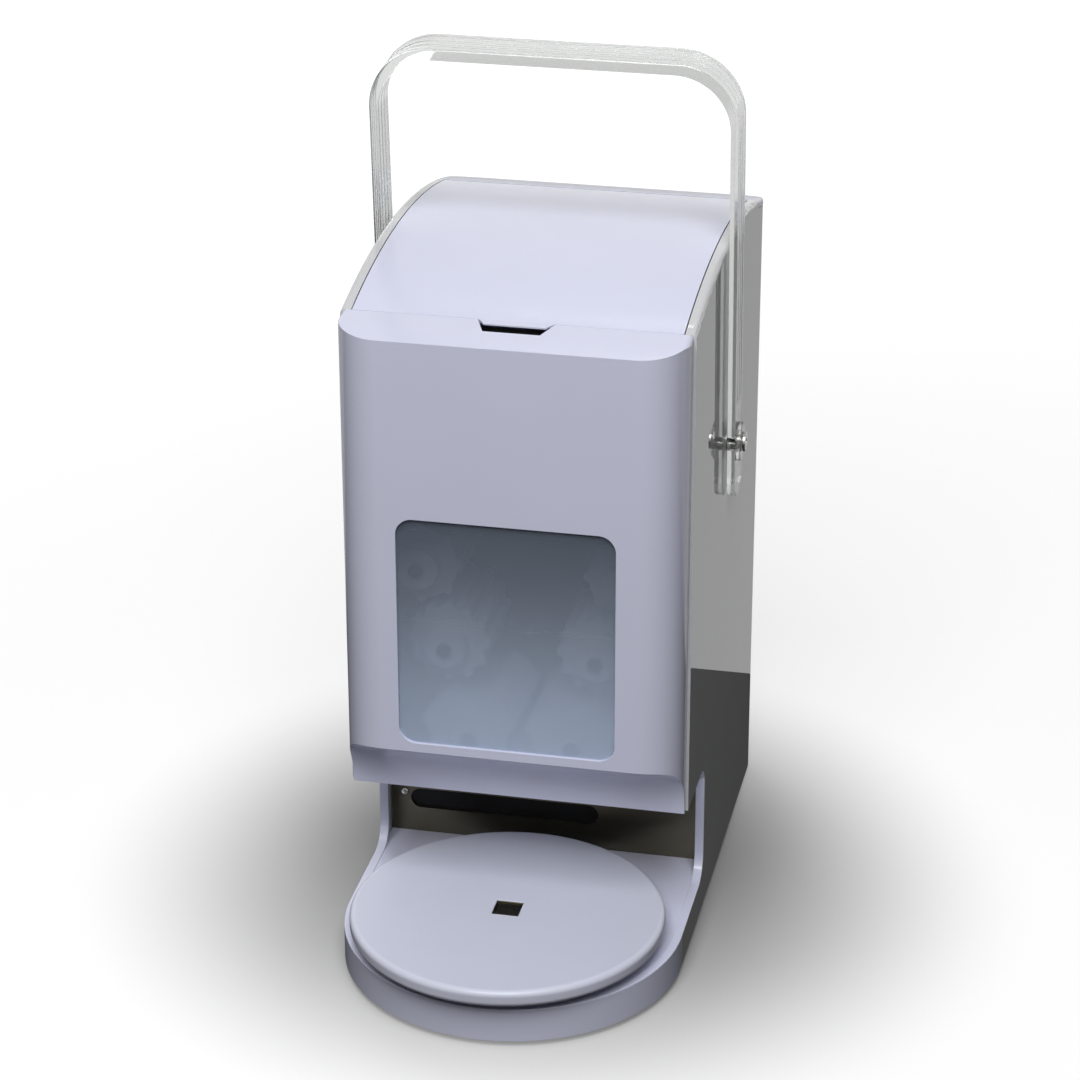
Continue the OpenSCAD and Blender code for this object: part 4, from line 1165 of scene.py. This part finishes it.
@dataclass
class Studio:
    """Pale floor, white surroundings, soft lamps and the cards that the glossy faces mirror.

    The floor's glow grows with the distance from its middle in two steps, each from a distance
    in metres to another one, by a strength. The near step leaves the grey floor dark round the
    machine's base, a painted shadow, and the far step keeps the far floor white. The cards are
    painted reflections, a dark one and a paler one beyond it, in the glossy faces.
    """

    floor_size: float = 14.0
    floor_seen: float = 0.4
    floor_bounce: float = 0.03
    # Near step: painted shadow, the floor stays grey close to the machine's base.
    painted_shadow_step: Point = (0.095, 0.29, 0.68)
    floor_far: Point = (0.3, 2.2, 0.34)
    ambient: float = 0.08
    card_reach: float = 3.0
    # The cards paint a dark reflection, and a paler one beyond it, into the glossy faces.
    reflection_split: float = 0.2807
    dark_reflection_glow: float = 0.03
    pale_reflection_glow: float = 0.55
    lamps: tuple[Lamp, ...] = (
        Lamp("lamp_above", (0.18, -1.55, 2.22), 1.6, 62),
        Lamp("lamp_behind", (-1.4, 2.0, 0.85), 1.4, 20, mirrored=False))

    def build(self) -> None:
        """Build the floor, the surroundings, the lamps and the cards."""
        self._floor()
        self._surroundings()
        for lamp in self.lamps:
            lamp.build()
        Card("dark_reflection_card", -self.card_reach, self.reflection_split, self.dark_reflection_glow).build()
        Card("pale_reflection_card", self.reflection_split, self.card_reach, self.pale_reflection_glow).build()

    def _floor(self) -> None:
        """Lay a floor that keeps the object's shadow, has a painted shadow round the machine's
        base, and looks white to the camera further out.
        """
        mesh = bmesh.new()
        bmesh.ops.create_grid(mesh, x_segments=1, y_segments=1, size=self.floor_size / 2)
        floor = stage_object("floor", mesh)
        material, output = empty_material("floor")
        tree = material.node_tree
        colour = self._seen(tree, self.floor_seen, self.floor_bounce)
        matt = add_node(tree, "BsdfDiffuse", {"Color": colour})
        strength = add_node(tree, "Math", {0: self._seen(tree, 1.0, 0.0), 1: self._glow_round_painted_shadow(tree)},
                            operation="MULTIPLY").outputs["Value"]
        glow = add_node(tree, "Emission", {"Color": WHITE, "Strength": strength})
        both = add_node(tree, "AddShader", {0: matt.outputs["BSDF"], 1: glow.outputs["Emission"]})
        feed(tree, output, {"Surface": both.outputs["Shader"]})
        floor.data.materials.append(material)

    def _glow_round_painted_shadow(self, tree: Tree) -> Socket:
        """Add a strength that grows with the distance from the floor's middle, which leaves a
        painted shadow round the machine's base, and return it.
        """
        place = add_node(tree, "TexCoord").outputs["Object"]
        away = add_node(tree, "VectorMath", {0: place}, operation="LENGTH").outputs["Value"]
        steps = [add_node(tree, "MapRange", {"Value": away, "From Min": start, "From Max": end,
                                             "To Max": strength},
                          interpolation_type="SMOOTHSTEP").outputs["Result"]
                 for start, end, strength in (self.painted_shadow_step, self.floor_far)]
        return add_node(tree, "Math", dict(enumerate(steps)), operation="ADD").outputs["Value"]

    @staticmethod
    def _seen(tree: Tree, strength: float, otherwise: float) -> Socket:
        """Add a value that camera, glossy and transmission rays find, and other rays don't.

        Args:
            tree: The nodes to add to.
            strength: What those rays find.
            otherwise: What the other rays find.

        Returns:
            The value.
        """
        path = add_node(tree, "LightPath")
        total = path.outputs["Is Camera Ray"]
        for kind in ("Is Glossy Ray", "Is Transmission Ray"):
            total = add_node(tree, "Math", {0: total, 1: path.outputs[kind]},
                             operation="MAXIMUM").outputs["Value"]
        return add_node(tree, "MapRange", {"Value": total, "To Min": otherwise,
                                           "To Max": strength}).outputs["Result"]

    def _surroundings(self) -> None:
        """Make the world white to look at, and dimmer as a light."""
        world = bpy.data.worlds.new("surroundings")
        bpy.context.scene.world = world
        world.use_nodes = True
        tree = world.node_tree
        feed(tree, tree.nodes["Background"], {
            "Color": WHITE, "Strength": self._seen(tree, 1.0, self.ambient)})


@dataclass
class Viewpoint:
    """The camera of the photograph."""

    position: Point = (0.36075, -1.70365, 1.01798)
    right: Point = (0.97799, 0.20865, -0.00186)
    above: Point = (-0.08565, 0.40954, 0.90826)
    behind: Point = (0.19027, -0.88811, 0.41840)
    lens: float = 114.31
    sensor: float = 36.0
    nearest: float = 0.05

    def build(self) -> None:
        """Make the camera and set it as the scene's."""
        data = bpy.data.cameras.new("camera")
        data.lens = self.lens
        data.sensor_width = self.sensor
        data.clip_start = self.nearest
        camera = bpy.data.objects.new("camera", data)
        turn = Matrix((self.right, self.above, self.behind)).transposed().to_4x4()
        camera.matrix_world = Matrix.Translation(self.position) @ turn
        bpy.context.scene.collection.objects.link(camera)
        bpy.context.scene.camera = camera


def dress_nodes() -> None:
    """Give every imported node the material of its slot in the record."""
    for part in frame["record"]["subparts"]:
        node = frame["nodes"][part["node"]]
        node.data.materials.clear()
        node.data.materials.append(FINISHES[part["material_slot"]].material())
        LOG.info("%s: dressed in %s", part["node"], part["material_slot"])


def main() -> None:
    """Build the camera, the studio and every sub-assembly in order."""
    logging.basicConfig(level=logging.INFO, format="%(name)s: %(message)s")
    bpy.context.scene.view_settings.view_transform = "Standard"
    Viewpoint().build()
    Studio().build()
    dress_nodes()
    Casing().build()
    Seams().build()
    BayRim().build()
    Carrier().build()
    Turntable().build()
    Rollers().build()
    Machinery().build()
    Fasteners().build()
    Feet().build()
    Controls().build()


if __name__ == "__main__":
    main()
